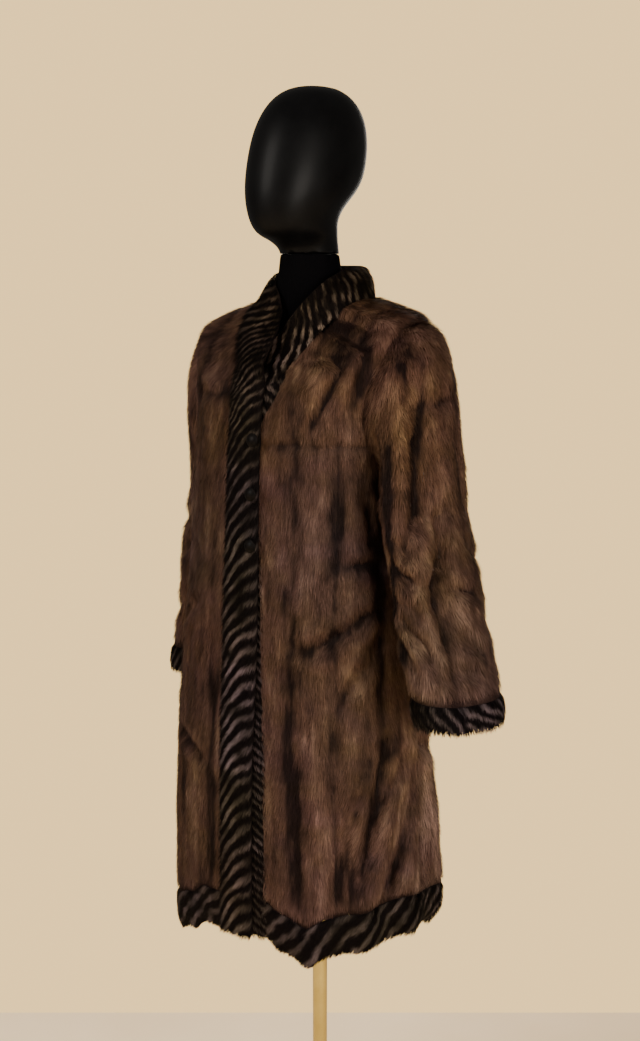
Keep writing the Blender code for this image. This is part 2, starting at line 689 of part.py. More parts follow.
# ---------------------------------------------------------------- buttons
def make_button(number, level, material):
    """A domed button with a rim, standing just clear of the right band."""
    angle = angle_of(BUTTON_X, level)
    normal = coat_normal(angle, level)
    lift = RIGHT_LIFT + 0.0015 + SEAM_GAP
    centre = coat_point(angle, level) + lift * normal
    side = unit(np.cross(normal, (0.0, 0.0, 1.0)))
    up = np.cross(side, normal)
    profile = ((0.80, 0.0), (1.0, 0.18), (1.0, 0.40), (0.84, 0.52), (0.62, 0.80), (0.30, 0.97))
    rings = []
    for radius, height in profile:
        ring = []
        for i in range(ROUND_SIDES // 2):
            a = 4 * math.pi * i / ROUND_SIDES
            flat = side * math.cos(a) + up * math.sin(a)
            ring.append(centre + flat * radius * BUTTON_RADIUS + normal * height * BUTTON_HEIGHT)
        rings.append(ring)
    top = centre + normal * BUTTON_HEIGHT
    add_lofted(f"button_{number}", np.array(rings), material, top, 35)


# ---------------------------------------------------------------- the form and its stand
def sloping_oval(size, sides):
    """A ring of the head, facing -Y, that slopes from its front to its back."""
    ring = []
    length = size["forward"] + size["back"]
    for i in range(sides):
        a = 2 * math.pi * i / sides
        back = (1 - math.cos(a)) / 2
        z = size["z_front"] + (size["z_back"] - size["z_front"]) * back
        ring.append((size["half_width"] * math.sin(a), length * back - size["forward"], z))
    return ring


def make_torso(material):
    rings = []
    for row in TORSO:
        size = named(TORSO_COLUMNS, row)
        ring = []
        for i in range(ROUND_SIDES):
            a = 2 * math.pi * i / ROUND_SIDES
            depth = size["front"] if math.cos(a) > 0 else size["back"]
            ring.append((size["half_width"] * math.sin(a), size["y_mid"] - depth * math.cos(a), size["z"]))
        rings.append(ring)
    add_lofted("form_torso", np.array(rings), material)


def make_head(material):
    turn = math.radians(HEAD_TURN_DEG)
    rings = []
    for row in HEAD:
        size = named(HEAD_COLUMNS, row)
        rings.append([turned(p, turn) for p in sloping_oval(size, ROUND_SIDES)])
    add_lofted("form_head", np.array(rings), material, turned((0.0, 0.0, CROWN_Z), turn), 60)


def turned(point, turn):
    """A point of the head, turned to the wearer's right about the neck's axis."""
    x, y, z = point
    c, s = math.cos(turn), math.sin(turn)
    return (x * c + y * s, NECK_AXIS_Y - x * s + y * c, z)


def make_stand(material):
    """A round plate, the socket that stands on it, and the pole between socket and torso."""
    top = TORSO[0][0] - SEAM_GAP
    socket_from = BASE_HEIGHT + SEAM_GAP
    socket_top = BASE_HEIGHT + SOCKET_HEIGHT
    turned_disc("stand_base", BASE_RADIUS, 0.0, BASE_HEIGHT, material)
    turned_disc("stand_socket", SOCKET_RADIUS, socket_from, socket_top, material)
    pole = [circle(POLE_RADIUS, z) for z in (socket_top + SEAM_GAP, top)]
    add_lofted("stand_pole", np.array(pole), material)


def turned_disc(name, radius, bottom, top, material, edge=0.004):
    """A short round body with bevelled edges."""
    profile = (
        (radius - edge, bottom), (radius, bottom + edge), (radius, top - edge), (radius - edge, top),
    )
    add_lofted(name, np.array([circle(r, z) for r, z in profile]), material, sharp_deg=30)


def circle(radius, z):
    return [
        (radius * math.sin(turn), -radius * math.cos(turn), z)
        for turn in np.linspace(0.0, 2 * math.pi, ROUND_SIDES, endpoint=False)
    ]


# ---------------------------------------------------------------- putting it together
for old in list(bpy.data.objects):
    bpy.data.objects.remove(old, do_unlink=True)

mink = make_material("mink", (0.110, 0.055, 0.030), 0.55)
striped_fur = make_material("striped_fur", (0.030, 0.022, 0.018), 0.60)
button_horn = make_material("button_horn", (0.012, 0.010, 0.010), 0.30)
black_gloss = make_material("black_gloss", (0.008, 0.008, 0.009), 0.22)
black_cloth = make_material("black_cloth", (0.012, 0.012, 0.013), 0.80)
brass = make_material("brass", (0.560, 0.420, 0.190), 0.32, 1.0)

TOP_ROW = len(ROWS) - 1
for side in ("left", "right"):
    front = [("front_" + side, HEM_ROWS, TOP_ROW)]
    panel, panel_normals = make_panel(side, front, mink, striped_fur)
    make_strip(side, panel, panel_normals, striped_fur)
back = [("coat_back", HEM_ROWS, YOKE_ROW), ("back_yoke", YOKE_ROW, TOP_ROW)]
make_panel("back", back, mink, striped_fur)
make_sleeve("left", SLEEVE_LEFT, SLEEVE_FOLDS_LEFT, mink, striped_fur)
make_sleeve("right", SLEEVE_RIGHT, SLEEVE_FOLDS_RIGHT, mink, striped_fur)
for number, level in enumerate(BUTTON_LEVELS, start=1):
    make_button(number, level, button_horn)
make_torso(black_cloth)
make_head(black_gloss)
make_stand(brass)
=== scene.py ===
"""The looks of a striped-trim mink coat on its limbless dress form.

Metres, +Z up; the coat faces -Y and the wearer's left is +X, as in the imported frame.
"""

import math

import bpy
import numpy as np
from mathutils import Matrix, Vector


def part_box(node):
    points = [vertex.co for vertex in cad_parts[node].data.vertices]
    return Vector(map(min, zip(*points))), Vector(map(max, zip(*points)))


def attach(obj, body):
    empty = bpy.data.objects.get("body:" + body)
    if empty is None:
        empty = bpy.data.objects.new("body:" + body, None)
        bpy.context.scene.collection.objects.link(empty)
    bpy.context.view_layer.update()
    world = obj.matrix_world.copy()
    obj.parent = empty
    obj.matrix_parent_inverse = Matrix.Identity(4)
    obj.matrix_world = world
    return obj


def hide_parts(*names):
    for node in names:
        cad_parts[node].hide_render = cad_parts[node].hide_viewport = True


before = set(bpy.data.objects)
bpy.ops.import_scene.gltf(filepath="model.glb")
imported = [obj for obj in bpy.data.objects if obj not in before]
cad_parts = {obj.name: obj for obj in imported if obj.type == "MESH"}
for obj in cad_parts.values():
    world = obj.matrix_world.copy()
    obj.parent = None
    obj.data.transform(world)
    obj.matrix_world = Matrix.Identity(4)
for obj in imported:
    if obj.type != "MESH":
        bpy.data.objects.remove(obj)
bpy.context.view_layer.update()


# ---------------------------------------------------------------- stand
# A round plate with a socket and a straight pole, all of turned and lacquered brass.
# The pole drops into the socket and carries the torso on its top.
class Value:
    """A number or colour on its way through a material, which sums can be written with."""

    def __init__(self, finish, socket):
        self.finish, self.socket = finish, socket

    def _with(self, other, operation):
        return self.finish.node("ShaderNodeMath", {"operation": operation}, {0: self, 1: other})

    def __add__(self, other):
        return self._with(other, "ADD")

    def __mul__(self, other):
        return self._with(other, "MULTIPLY")

    __radd__ = __add__
    __rmul__ = __mul__


class Finish:
    """A material and the sockets of its shader."""

    def __init__(self, name, **settings):
        self.material = bpy.data.materials.new(name)
        self.material.use_nodes = True
        self.tree = self.material.node_tree
        self.shader = self.tree.nodes["Principled BSDF"]
        for socket, value in settings.items():
            self.feed(socket.replace("_", " "), value)

    def feed(self, socket, value):
        self._put(self.shader.inputs[socket], value)

    def _put(self, socket, value):
        if isinstance(value, Value):
            self.tree.links.new(value.socket, socket)
        else:
            socket.default_value = value

    def node(self, kind, settings, inputs, output=0):
        made = self.tree.nodes.new(kind)
        for name, value in settings.items():
            setattr(made, name, value)
        for socket, value in inputs.items():
            self._put(made.inputs[socket], value)
        return Value(self, made.outputs[output])

    def noise(self, scale, detail, stretch=(1.0, 1.0, 1.0)):
        place = self.node("ShaderNodeTexCoord", {}, {}, "Object")
        at = self.node("ShaderNodeMapping", {}, {"Vector": place, "Scale": stretch})
        return self.node("ShaderNodeTexNoise", {}, {"Vector": at, "Scale": scale, "Detail": detail})

    def blend(self, share, first, second):
        return self.node("ShaderNodeMix", {"data_type": "RGBA"}, {0: share, 6: first, 7: second}, 2)

    def coloured(self, share, *stops):
        """Lets the base colour run between two colours, each reached at its place of the share."""
        ramp = self.node("ShaderNodeValToRGB", {}, {"Fac": share})
        for element, (place, colour) in zip(ramp.socket.node.color_ramp.elements, stops):
            element.position, element.color = place, (*colour, 1.0)
        self.feed("Base Color", ramp)

    def relief(self, height, strength, distance):
        inputs = {"Height": height, "Strength": strength, "Distance": distance}
        self.feed("Normal", self.node("ShaderNodeBump", {}, inputs))


BRASS_LIGHT = (0.52, 0.42, 0.15)
BRASS_DARK = (0.39, 0.30, 0.09)

brass = Finish("turned brass", Metallic=1.0, Coat_Roughness=0.15)
turning = brass.noise(90.0, 3.0, (1.0, 1.0, 14.0))
tarnish = brass.noise(9.0, 4.0)
brass.coloured(tarnish, (0.35, BRASS_DARK), (0.62, BRASS_LIGHT))
brass.feed("Roughness", 0.26 + turning * 0.16)
brass.feed("Coat Weight", 0.15 + tarnish * 0.2)
brass.relief(turning, 0.08, 0.0004)


def only(piece):
    """Selects one piece and nothing else."""
    bpy.ops.object.select_all(action="DESELECT")
    piece.select_set(True)
    bpy.context.view_layer.objects.active = piece


def finish_piece(piece, name, finish, node, smooth_deg=40.0):
    """Names a modelled piece, puts its place in its mesh, gives it its finish, and lets it
    replace its node."""
    only(piece)
    piece.name = piece.data.name = name
    bpy.ops.object.transform_apply(location=True, rotation=True, scale=True)
    bpy.ops.object.shade_smooth_by_angle(angle=math.radians(smooth_deg))
    piece.data.materials.clear()
    piece.data.materials.append(finish.material)
    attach(piece, "root")
    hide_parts(node)


def apply_all(piece):
    only(piece)
    for modifier in list(piece.modifiers):
        bpy.ops.object.modifier_apply(modifier=modifier.name)


def turn_disc(name, node, edge, sides):
    """A round piece turned to a node's own size, with a rounded edge."""
    low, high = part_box(node)
    middle = [(a + b) / 2 for a, b in zip(low, high)]
    bpy.ops.object.select_all(action="DESELECT")
    bpy.ops.mesh.primitive_cylinder_add(
        vertices=sides, radius=(high[0] - low[0]) / 2, depth=high[2] - low[2], location=middle
    )
    piece = bpy.context.active_object
    rounding = piece.modifiers.new("rounded edge", "BEVEL")
    rounding.width, rounding.segments, rounding.limit_method = edge, 4, "ANGLE"
    apply_all(piece)
    finish_piece(piece, name, brass, node)


turn_disc("base_plate", "stand_base", 0.0035, 128)
turn_disc("pole_socket", "stand_socket", 0.0030, 64)
turn_disc("pole", "stand_pole", 0.0004, 64)


# ---------------------------------------------------------------- torso
# A smooth padded bust form with a neck, covered in black stretch jersey.
# The jersey is pulled tight and gathers into a few faint folds where the neck meets the head.
jersey = Finish("black jersey", Roughness=0.90, Specular_IOR_Level=0.02)
loops = jersey.noise(1400.0, 1.0, (1.0, 1.0, 0.55))
fade = jersey.noise(14.0, 3.0)
jersey.coloured(
    fade * 0.5 + loops * 0.5, (0.30, (0.0006, 0.0005, 0.0007)), (0.75, (0.0022, 0.0020, 0.0025))
)
jersey.relief(loops, 0.35, 0.0006)


def rounded_copy(node, name, finish, levels, smooth_deg=60.0):
    """A finer, rounder copy of a hard node of the form, which it replaces."""
    piece = bpy.data.objects.new(name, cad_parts[node].data.copy())
    bpy.context.scene.collection.objects.link(piece)
    only(piece)
    bpy.ops.object.mode_set(mode="EDIT")
    bpy.ops.mesh.select_all(action="SELECT")
    bpy.ops.mesh.remove_doubles(threshold=0.00001)
    bpy.ops.mesh.tris_convert_to_quads()
    bpy.ops.object.mode_set(mode="OBJECT")
    rounding = piece.modifiers.new("rounding", "SUBSURF")
    rounding.levels = rounding.render_levels = levels
    apply_all(piece)
    finish_piece(piece, name, finish, node, smooth_deg)


rounded_copy("form_torso", "torso", jersey, 2)


# ---------------------------------------------------------------- head
# A faceless egg-shaped head of moulded plastic, lacquered black.
# A soft ridge runs down the middle of its front; it plugs onto the neck.
gloss = Finish("black gloss", Specular_IOR_Level=0.06, Coat_Roughness=0.25)
mottle = gloss.noise(22.0, 3.0)
orange_peel = gloss.noise(260.0, 2.0)
gloss.coloured(mottle, (0.3, (0.0012, 0.0012, 0.0014)), (0.7, (0.0024, 0.0024, 0.0027)))
gloss.feed("Roughness", 0.40 + mottle * 0.10)
gloss.feed("Coat Weight", 0.01 + mottle * 0.02)
gloss.relief(orange_peel, 0.05, 0.0005)

rounded_copy("form_head", "head", gloss, 2)


# ---------------------------------------------------------------- mink body
# The back and the two fronts are sheets of mink pelts let out into long strips, sewn edge
# to edge. Each is a thin skin with a satin inside, and its fur lies down towards the hem.
HEM_BAND = 0.057
ARMPIT_LEVEL = 1.185
SHOULDER_TIP_LEVEL = 1.408
NECK_SEAM_LEVEL = 1.443
ARMHOLE_FRONT_DEG = 33.0
ARMHOLE_BACK_DEG = 30.0
PLAIN_HEM = 0.52
BACK_SQUARE = 2.1
FLUTE_FOOT = 0.5

# level, x_mid, half_width, y_mid, front, back, square, dip, rise
RINGS = (
    (0.44, -0.004, 0.226, -0.03, 0.157, 0.151, 2.1, 0, 0),
    (0.61, -0.007, 0.222, -0.032, 0.155, 0.148, 2.1, 0, 0),
    (0.77, -0.01, 0.211, -0.034, 0.151, 0.141, 2.1, 0, 0),
    (0.91, -0.008, 0.2, -0.033, 0.148, 0.139, 2.1, 0, 0),
    (1.06, -0.003, 0.188, -0.03, 0.147, 0.138, 2.1, 0, 0),
    (1.185, 0, 0.184, -0.024, 0.15, 0.14, 2.1, 0, 0),
    (1.235, 0, 0.183, -0.02, 0.152, 0.14, 2.1, 0.018, 0.005),
    (1.295, 0, 0.183, -0.015, 0.154, 0.136, 2.1, 0.045, 0.01),
    (1.355, 0, 0.184, -0.01, 0.155, 0.128, 2.2, 0.078, 0.015),
    (1.405, 0, 0.185, -0.008, 0.153, 0.113, 2.2, 0.106, 0.016),
    (1.417, 0, 0.172, -0.007, 0.152, 0.103, 2.2, 0.113, 0.014),
    (1.427, 0, 0.144, -0.006, 0.151, 0.092, 2.1, 0.118, 0.012),
    (1.436, 0, 0.113, -0.005, 0.151, 0.081, 2, 0.122, 0.01),
    (1.443, 0, 0.089, -0.005, 0.15, 0.07, 2, 0.124, 0.008),
)
# angle round the coat, height of the hem there
HEM = (
    (-180, 0.492), (-135, 0.48), (-90, 0.468), (-60, 0.47), (-45, 0.476), (-30, 0.492), (-18, 0.517),
    (0, 0.52), (9, 0.519), (18, 0.505), (27, 0.492), (38, 0.51), (50, 0.517), (62, 0.527), (78, 0.536),
    (100, 0.53), (140, 0.51), (180, 0.492),
)
# angle, width, depth, top of each soft flute of the skirt
FLUTES = (
    (-168, 9, 0.006, 0.95), (-145, 8, -0.006, 0.9), (-124, 9, 0.007, 0.98), (-101, 8, -0.005, 0.88),
    (-80, 8, 0.006, 0.95), (-60, 7, -0.006, 0.84), (-42, 7, 0.005, 0.92), (21, 5, -0.005, 0.9),
    (32, 6, 0.006, 0.84), (46, 6, -0.005, 0.98), (58, 6, 0.006, 0.88), (69, 6, -0.009, 0.96),
    (82, 7, 0.007, 0.86), (97, 8, -0.006, 0.94), (113, 8, 0.009, 0.99), (132, 9, -0.007, 0.92),
    (152, 9, 0.007, 0.98), (172, 8, -0.007, 0.9),
)
# level, right_seam, right_free, left_free, left_seam
BAND_EDGES = (
    (0.44, -0.04, 0.016, -0.03, 0.036), (0.72, -0.04, 0.015, -0.03, 0.033),
    (1, -0.037, 0.022, -0.036, 0.024), (1.185, -0.033, 0.022, -0.042, 0.018),
    (1.295, -0.032, 0.021, -0.044, 0.016), (1.355, -0.032, 0.02, -0.044, 0.02),
    (1.408, -0.035, 0.019, -0.042, 0.034), (1.443, -0.042, 0.017, -0.04, 0.046),
)
RIGHT_LIFT = 0.003
LEFT_TUCK = 0.0085

# Creases: angle and height of both ends, then in mm how wide they are and how far they push
# the surface out, which is less than 0 for a trough, and how much of a lip stands beside them
BODY_CREASES = (
    (11, 1.24, 38, 1.238, 8, -2.2, 0.6), (38, 1.238, 63, 1.24, 9, -3.2, 0.8),
    (62, 1.404, 46, 1.363, 12, -5, 0.6), (46, 1.363, 38, 1.316, 12, -5.5, 0.6),
    (38, 1.316, 33, 1.265, 11, -4, 0.5), (65, 1.403, 57, 1.374, 13, -4.5, 0.5),
    (57, 1.374, 54, 1.301, 14, -5, 0.4), (45, 1.2, 47, 1.11, 10, -2, 0.4),
    (58, 1.19, 64, 1.12, 10, -3.5, 0.4), (50, 1.079, 66, 1.072, 11, -5.5, 0.9),
    (31, 0.958, 42, 0.972, 13, -6, 0.9), (42, 0.972, 57, 0.998, 12, -6, 0.9),
    (57, 0.998, 68, 1.008, 10, -4, 0.8), (66, 0.965, 58, 0.915, 13, -5, 0.6),
    (58, 0.915, 56, 0.88, 14, -4, 0.4), (24, 1.04, 22, 0.93, 11, -4, 0.3),
    (25, 0.82, 26, 0.6, 13, -4.5, 0.3), (45, 0.86, 43, 0.62, 12, -4, 0.4),
    (69, 0.8, 60, 0.69, 13, -7.5, 0.7), (60, 0.69, 50, 0.6, 12, -6, 0.6), (84, 0.76, 72, 0.64, 11, -5, 0.6),
    (97, 0.74, 92, 0.64, 12, -5.5, 0.6), (90, 0.88, 98, 0.8, 12, -5, 0.8),
    (97, 0.805, 108, 0.79, 11, -6, 0.9), (-44, 0.8, -22, 0.775, 10, -4.5, 0.9),
    (-15, 0.9, -14, 0.64, 10, -3.5, 0.3), (-34, 1.31, -14, 1.308, 9, -3, 0.7),
    (-40, 1.08, -24, 1.06, 12, -3, 0.6), (-46, 0.98, -30, 1, 12, -4, 0.7),
    (-70, 1.02, -52, 0.985, 13, -5, 0.8), (-78, 0.84, -62, 0.86, 13, -5, 0.8),
    (118, 1.06, 136, 1.03, 13, -5.5, 0.8), (110, 0.96, 132, 0.985, 14, -6, 0.9),
    (140, 0.905, 160, 0.93, 13, -5, 0.8), (150, 1.08, 176, 1.06, 13, -4.5, 0.8),
    (186, 1.09, 214, 1.045, 14, -5.5, 0.8), (196, 0.96, 226, 0.985, 14, -5.5, 0.9),
    (226, 1.065, 246, 1.04, 12, -5, 0.8), (170, 1.24, 196, 1.236, 11, -3, 0.7),
    (128, 1.25, 154, 1.243, 11, -3.5, 0.7), (206, 1.243, 232, 1.25, 11, -3.5, 0.7),
    (80, 0.788, 68, 0.722, 11, -6, 0.8), (68, 0.722, 62, 0.68, 11, -6, 0.7),
    (89, 0.745, 74, 0.644, 11, -6, 0.8), (74, 0.644, 65, 0.59, 11, -5, 0.6),
    (60, 0.8, 54, 0.728, 11, -4.5, 0.5), (54, 0.728, 43, 0.61, 12, -4.5, 0.5),
    (50, 0.884, 55, 0.92, 11, -5, 0.9), (160, 0.82, 164, 0.64, 13, -4.5, 0.4),
    (206, 0.8, 202, 0.62, 13, -5, 0.4), (238, 0.84, 246, 0.66, 13, -5.5, 0.5),
    (104, 0.78, 114, 0.64, 55, 7, 0),
)
# metres round the coat for one degree
BODY_PER_DEG = 0.0033


def rows_at(table, at):
    """Rows between a table's own, by cubic curves that never swing past them."""
    table = np.array(table, float)
    keys = table[:, 0]
    steps = np.diff(table, axis=0) / np.diff(keys)[:, None]
    same_way = steps[1:] * steps[:-1] > 0
    both = np.where(same_way, steps[1:] + steps[:-1], 1.0)
    slopes = np.zeros_like(table)
    slopes[1:-1] = np.where(same_way, 2 * steps[1:] * steps[:-1] / both, 0.0)
    slopes[0], slopes[-1] = steps[0], steps[-1]
    at = np.clip(at, keys[0], keys[-1])
    i = np.clip(np.searchsorted(keys, at) - 1, 0, len(keys) - 2)
    step = keys[i + 1] - keys[i]
    t = ((at - keys[i]) / step)[..., None]
    step = step[..., None]
    start = (2 * t**3 - 3 * t**2 + 1) * table[i] + (t**3 - 2 * t**2 + t) * step * slopes[i]
    end = (3 * t**2 - 2 * t**3) * table[i + 1] + (t**3 - t**2) * step * slopes[i + 1]
    return np.moveaxis(start + end, -1, 0)


def ease(start, end, at):
    """0 at start, 1 at end, with a soft beginning and finish."""
    t = np.clip((at - start) / (end - start), 0.0, 1.0)
    return t * t * (3 - 2 * t)


def unit(vectors):
    return vectors / np.linalg.norm(vectors, axis=-1, keepdims=True)


def laid_flat(way, normal):
    """A direction as it runs on the surface that a normal stands on."""
    return unit(way - normal * (way * normal).sum(-1, keepdims=True))


def apart(angle, middle):
    """The signed way round from one angle to another, in degrees."""
    return (angle - middle + 180.0) % 360.0 - 180.0


def hem_height(angle):
    at = apart(angle, 0.0)
    height = np.full(at.shape, HEM[0][1])
    for (a, low), (b, high) in zip(HEM, HEM[1:]):
        height = np.where((at >= a) & (at <= b), low + (high - low) * ease(a, b, at), height)
    return height


def flute(angle, z):
    out = np.zeros(np.broadcast(angle, z).shape)
    for middle, width, depth, top in FLUTES:
        share = np.clip((top - z) / (top - FLUTE_FOOT), 0.0, None) ** 1.3
        out += depth * np.exp(-((apart(angle, middle) / width) ** 2)) * share
    return out


def coat_point(angle, level):
    """The plain outer surface, where the tips of the fur lie."""
    angle, level = np.broadcast_arrays(np.asarray(angle, float), np.asarray(level, float))
    _, x_mid, half_width, y_mid, front, back, square, dip, rise = rows_at(RINGS, level)
    s, c = np.sin(np.radians(angle)), np.cos(np.radians(angle))
    facing = c > 0
    power = 2 / np.where(facing, square, BACK_SQUARE)
    across = np.copysign(np.abs(s) ** power, s)
    z = level + np.where(facing, -dip, rise) * c * c
    depth = np.where(facing, -front, back) * np.abs(c) ** power
    out = flute(angle, z)
    return np.stack((x_mid + half_width * across + out * s, y_mid + depth - out * c, z), axis=-1)


def coat_normal(angle, level):
    round_it = coat_point(angle + 1.0, level) - coat_point(angle - 1.0, level)
    high = np.minimum(level + 0.008, NECK_SEAM_LEVEL)
    return unit(np.cross(round_it, coat_point(angle, high) - coat_point(angle, high - 0.016)))


def angle_of(x, level):
    """The angle at which the front of a ring has this x."""
    ring = rows_at(RINGS, level)
    share = (x - ring[1]) / ring[2]
    return np.degrees(np.arcsin(np.copysign(np.abs(share) ** (ring[6] / 2), share)))


def lap(x, side):
    """How far a front stands off the plain surface where the two fronts cross."""
    if side == "right":
        return RIGHT_LIFT * ease(-0.130, -0.060, x)
    if side == "left":
        return -LEFT_TUCK * ease(0.090, 0.030, x)
    return np.zeros_like(x)


def plain_level(zone):
    """Zones go up the coat: 0 hem, 1 band seam, 2 armpit, 3 shoulder tip, 4 neck seam."""
    return level_at(zone, np.full(np.shape(zone), PLAIN_HEM))


def level_at(zone, hem):
    seam = hem + HEM_BAND
    middle = (ARMPIT_LEVEL + SHOULDER_TIP_LEVEL) / 2
    half = (SHOULDER_TIP_LEVEL - ARMPIT_LEVEL) / 2
    return np.select(
        [zone < 1, zone < 2, zone < 3],
        [
            hem + HEM_BAND * zone,
            seam + (ARMPIT_LEVEL - seam) * (zone - 1),
            middle - half * np.cos(math.pi * (zone - 2)),
        ],
        SHOULDER_TIP_LEVEL + (NECK_SEAM_LEVEL - SHOULDER_TIP_LEVEL) * (zone - 3),
    )


def armhole_cut(zone, most):
    inside = (zone > 2) & (zone < 3)
    return np.where(inside, most * np.sin(math.pi * (zone - 2)), 0.0)


class Noise:
    """Soft random values in space, the same on every run."""

    def __init__(self, seed):
        self.table = np.random.default_rng(seed).uniform(-1, 1, (32, 32, 32))

    def at(self, points, size):
        scaled = points / size + 1000.0
        cell = np.floor(scaled).astype(int)
        t = scaled - cell
        t = t * t * (3 - 2 * t)
        total = 0.0
        for corner in np.ndindex(2, 2, 2):
            share = np.prod([t[..., k] if corner[k] else 1 - t[..., k] for k in range(3)], axis=0)
            i, j, k = ((cell[..., n] + corner[n]) % 32 for n in range(3))
            total = total + share * self.table[i, j, k]
        return total


wander = Noise(5)
other_wander = Noise(11)
third_wander = Noise(23)


# How much deeper creases are than their tables, and the painted shade per metre of depth: darker in a
# trough, painted lighter on a lip or ridge that stands out
CREASE_DEPTH = 1.25
CREASE_SHADE = 12.0
# A crease's depth at its ends and what it gains by its middle, and how far it runs out past them
CREASE_END, CREASE_SWELL = 0.55, 0.45
CREASE_RUNS_ON = 0.2
# Its lip: height, and in widths of the crease how far off it is and how wide
LIP_HEIGHT, LIP_OFF, LIP_WIDTH = 0.45, 1.9, 0.8
# How far lines wander, and over what length
FAR, FAR_OVER = 0.0050, 0.040
NEAR, NEAR_OVER = 0.0024, 0.016


def wandering(points, across, up, per_degree):
    """Places shifted a few millimetres, so that lines laid out straight run unevenly."""
    one, two = points + 0.3, points + 0.6
    shift = FAR * other_wander.at(one, FAR_OVER) + NEAR * third_wander.at(one, NEAR_OVER)
    drop = FAR * wander.at(two, FAR_OVER) + NEAR * other_wander.at(two, NEAR_OVER)
    return across + shift / per_degree, up + drop


def beside(across, up, ends, per_degree, past=0.0):
    """For a line between two ends: the share of the way along it, and how far off it is."""
    start_a, start_z, end_a, end_z = ends
    run_a, run_z = (end_a - start_a) * per_degree, end_z - start_z
    off_a, off_z = apart(across, start_a) * per_degree, up - start_z
    t = np.clip((off_a * run_a + off_z * run_z) / (run_a**2 + run_z**2), -past, 1 + past)
    return t, np.hypot(off_a - t * run_a, off_z - t * run_z)


def creased(points, across, creases, per_degree):
    """How far creases push a surface in, or their lips push it out."""
    across, up = wandering(points, across, points[..., 2], per_degree)
    out = np.zeros(np.broadcast(across, up).shape)
    for *ends, width_mm, depth_mm, lip in creases:
        t, off = beside(across, up, ends, per_degree, CREASE_RUNS_ON)
        near = off / (width_mm / 1000)
        taper = CREASE_END + CREASE_SWELL * np.sin(math.pi * np.clip(t, 0, 1))
        rim = LIP_HEIGHT * lip * np.exp(-((near - LIP_OFF) / LIP_WIDTH) ** 2)
        out += depth_mm / 1000 * taper * (np.exp(-near**2) - rim)
    return CREASE_DEPTH * out


def grid_normals(points, ring=False):
    if ring:
        across = np.roll(points, -1, axis=1) - np.roll(points, 1, axis=1)
    else:
        across = np.gradient(points, axis=1)
    return unit(np.cross(across, np.gradient(points, axis=0)))


class Skin:
    """A grid of places on one piece: its outer surface, which way is out of the piece, which
    way each place faces with its creases, and where the places are."""

    def __init__(self, points, normals, across, up, ring=False):
        self.points, self.normals = points, normals
        self.across, self.up = np.broadcast_arrays(across, up)
        self.ring = ring
        self.face()

    def face(self):
        facing = grid_normals(self.points, self.ring)
        self.facing = facing if (facing * self.normals).sum() > 0 else -facing

    def pushed(self, out):
        """Moves the surface outwards, or inwards where out is less than 0."""
        self.points = self.points + out[..., None] * self.normals
        self.face()

    def rows(self, first, last):
        grids = (self.points, self.normals, self.across, self.up)
        return Skin(*(grid[first:last] for grid in grids), self.ring)


def coat_skin(zone, angle, side, across, out=0.0):
    """A skin on the coat's own surface with its creases, and further out by so much."""
    at = level_at(zone, hem_height(angle))
    normals = coat_normal(angle, at)
    points = coat_point(angle, at)
    off = lap(points[..., 0], side) + out + creased(points, angle, BODY_CREASES, BODY_PER_DEG)
    return Skin(points + off[..., None] * normals, normals, across, at)


def panel_skin(side, zones, columns):
    zone = zones[:, None]
    level = plain_level(zone)
    edges = rows_at(BAND_EDGES, level)
    if side == "left":
        start = angle_of(edges[4], level)
        end = 90.0 - armhole_cut(zone, ARMHOLE_FRONT_DEG)
    elif side == "right":
        start = -90.0 + armhole_cut(zone, ARMHOLE_FRONT_DEG)
        end = angle_of(edges[1], level)
    else:
        start = 90.0 + armhole_cut(zone, ARMHOLE_BACK_DEG)
        end = 270.0 - armhole_cut(zone, ARMHOLE_BACK_DEG)
    angle = start + (end - start) * np.linspace(0, 1, columns + 1)
    return coat_skin(zone, angle, side, angle)


def make_mesh(name, points, faces, materials):
    """A mesh of quads and triangles from numpy arrays, with a slot number for each face."""
    mesh = bpy.data.meshes.new(name)
    counts = np.concatenate([np.full(len(f), f.shape[1]) for f, _ in faces])
    loops = np.concatenate([f.ravel() for f, _ in faces])
    starts = np.concatenate(([0], np.cumsum(counts)[:-1]))
    mesh.vertices.add(len(points))
    mesh.vertices.foreach_set("co", points.astype(np.float32).ravel())
    mesh.loops.add(len(loops))
    mesh.loops.foreach_set("vertex_index", loops.astype(np.int32))
    mesh.polygons.add(len(counts))
    mesh.polygons.foreach_set("loop_start", starts.astype(np.int32))
    for material in materials:
        mesh.materials.append(material)
    slots = np.concatenate([np.full(len(f), slot) for f, slot in faces])
    mesh.polygons.foreach_set("material_index", slots.astype(np.int32))
    mesh.update(calc_edges=True)
    mesh.validate()
    mesh.shade_smooth()
    piece = bpy.data.objects.new(name, mesh)
    bpy.context.scene.collection.objects.link(piece)
    return piece


def paint(piece, colours):
    """Gives each point of a mesh its own colour, as the attribute that the fur's finish reads."""
    layer = piece.data.color_attributes.new("hair_colour", "FLOAT_COLOR", "POINT")
    rgba = np.ones((len(colours), 4), np.float32)
    rgba[:, :3] = colours
    layer.data.foreach_set("color", rgba.ravel())


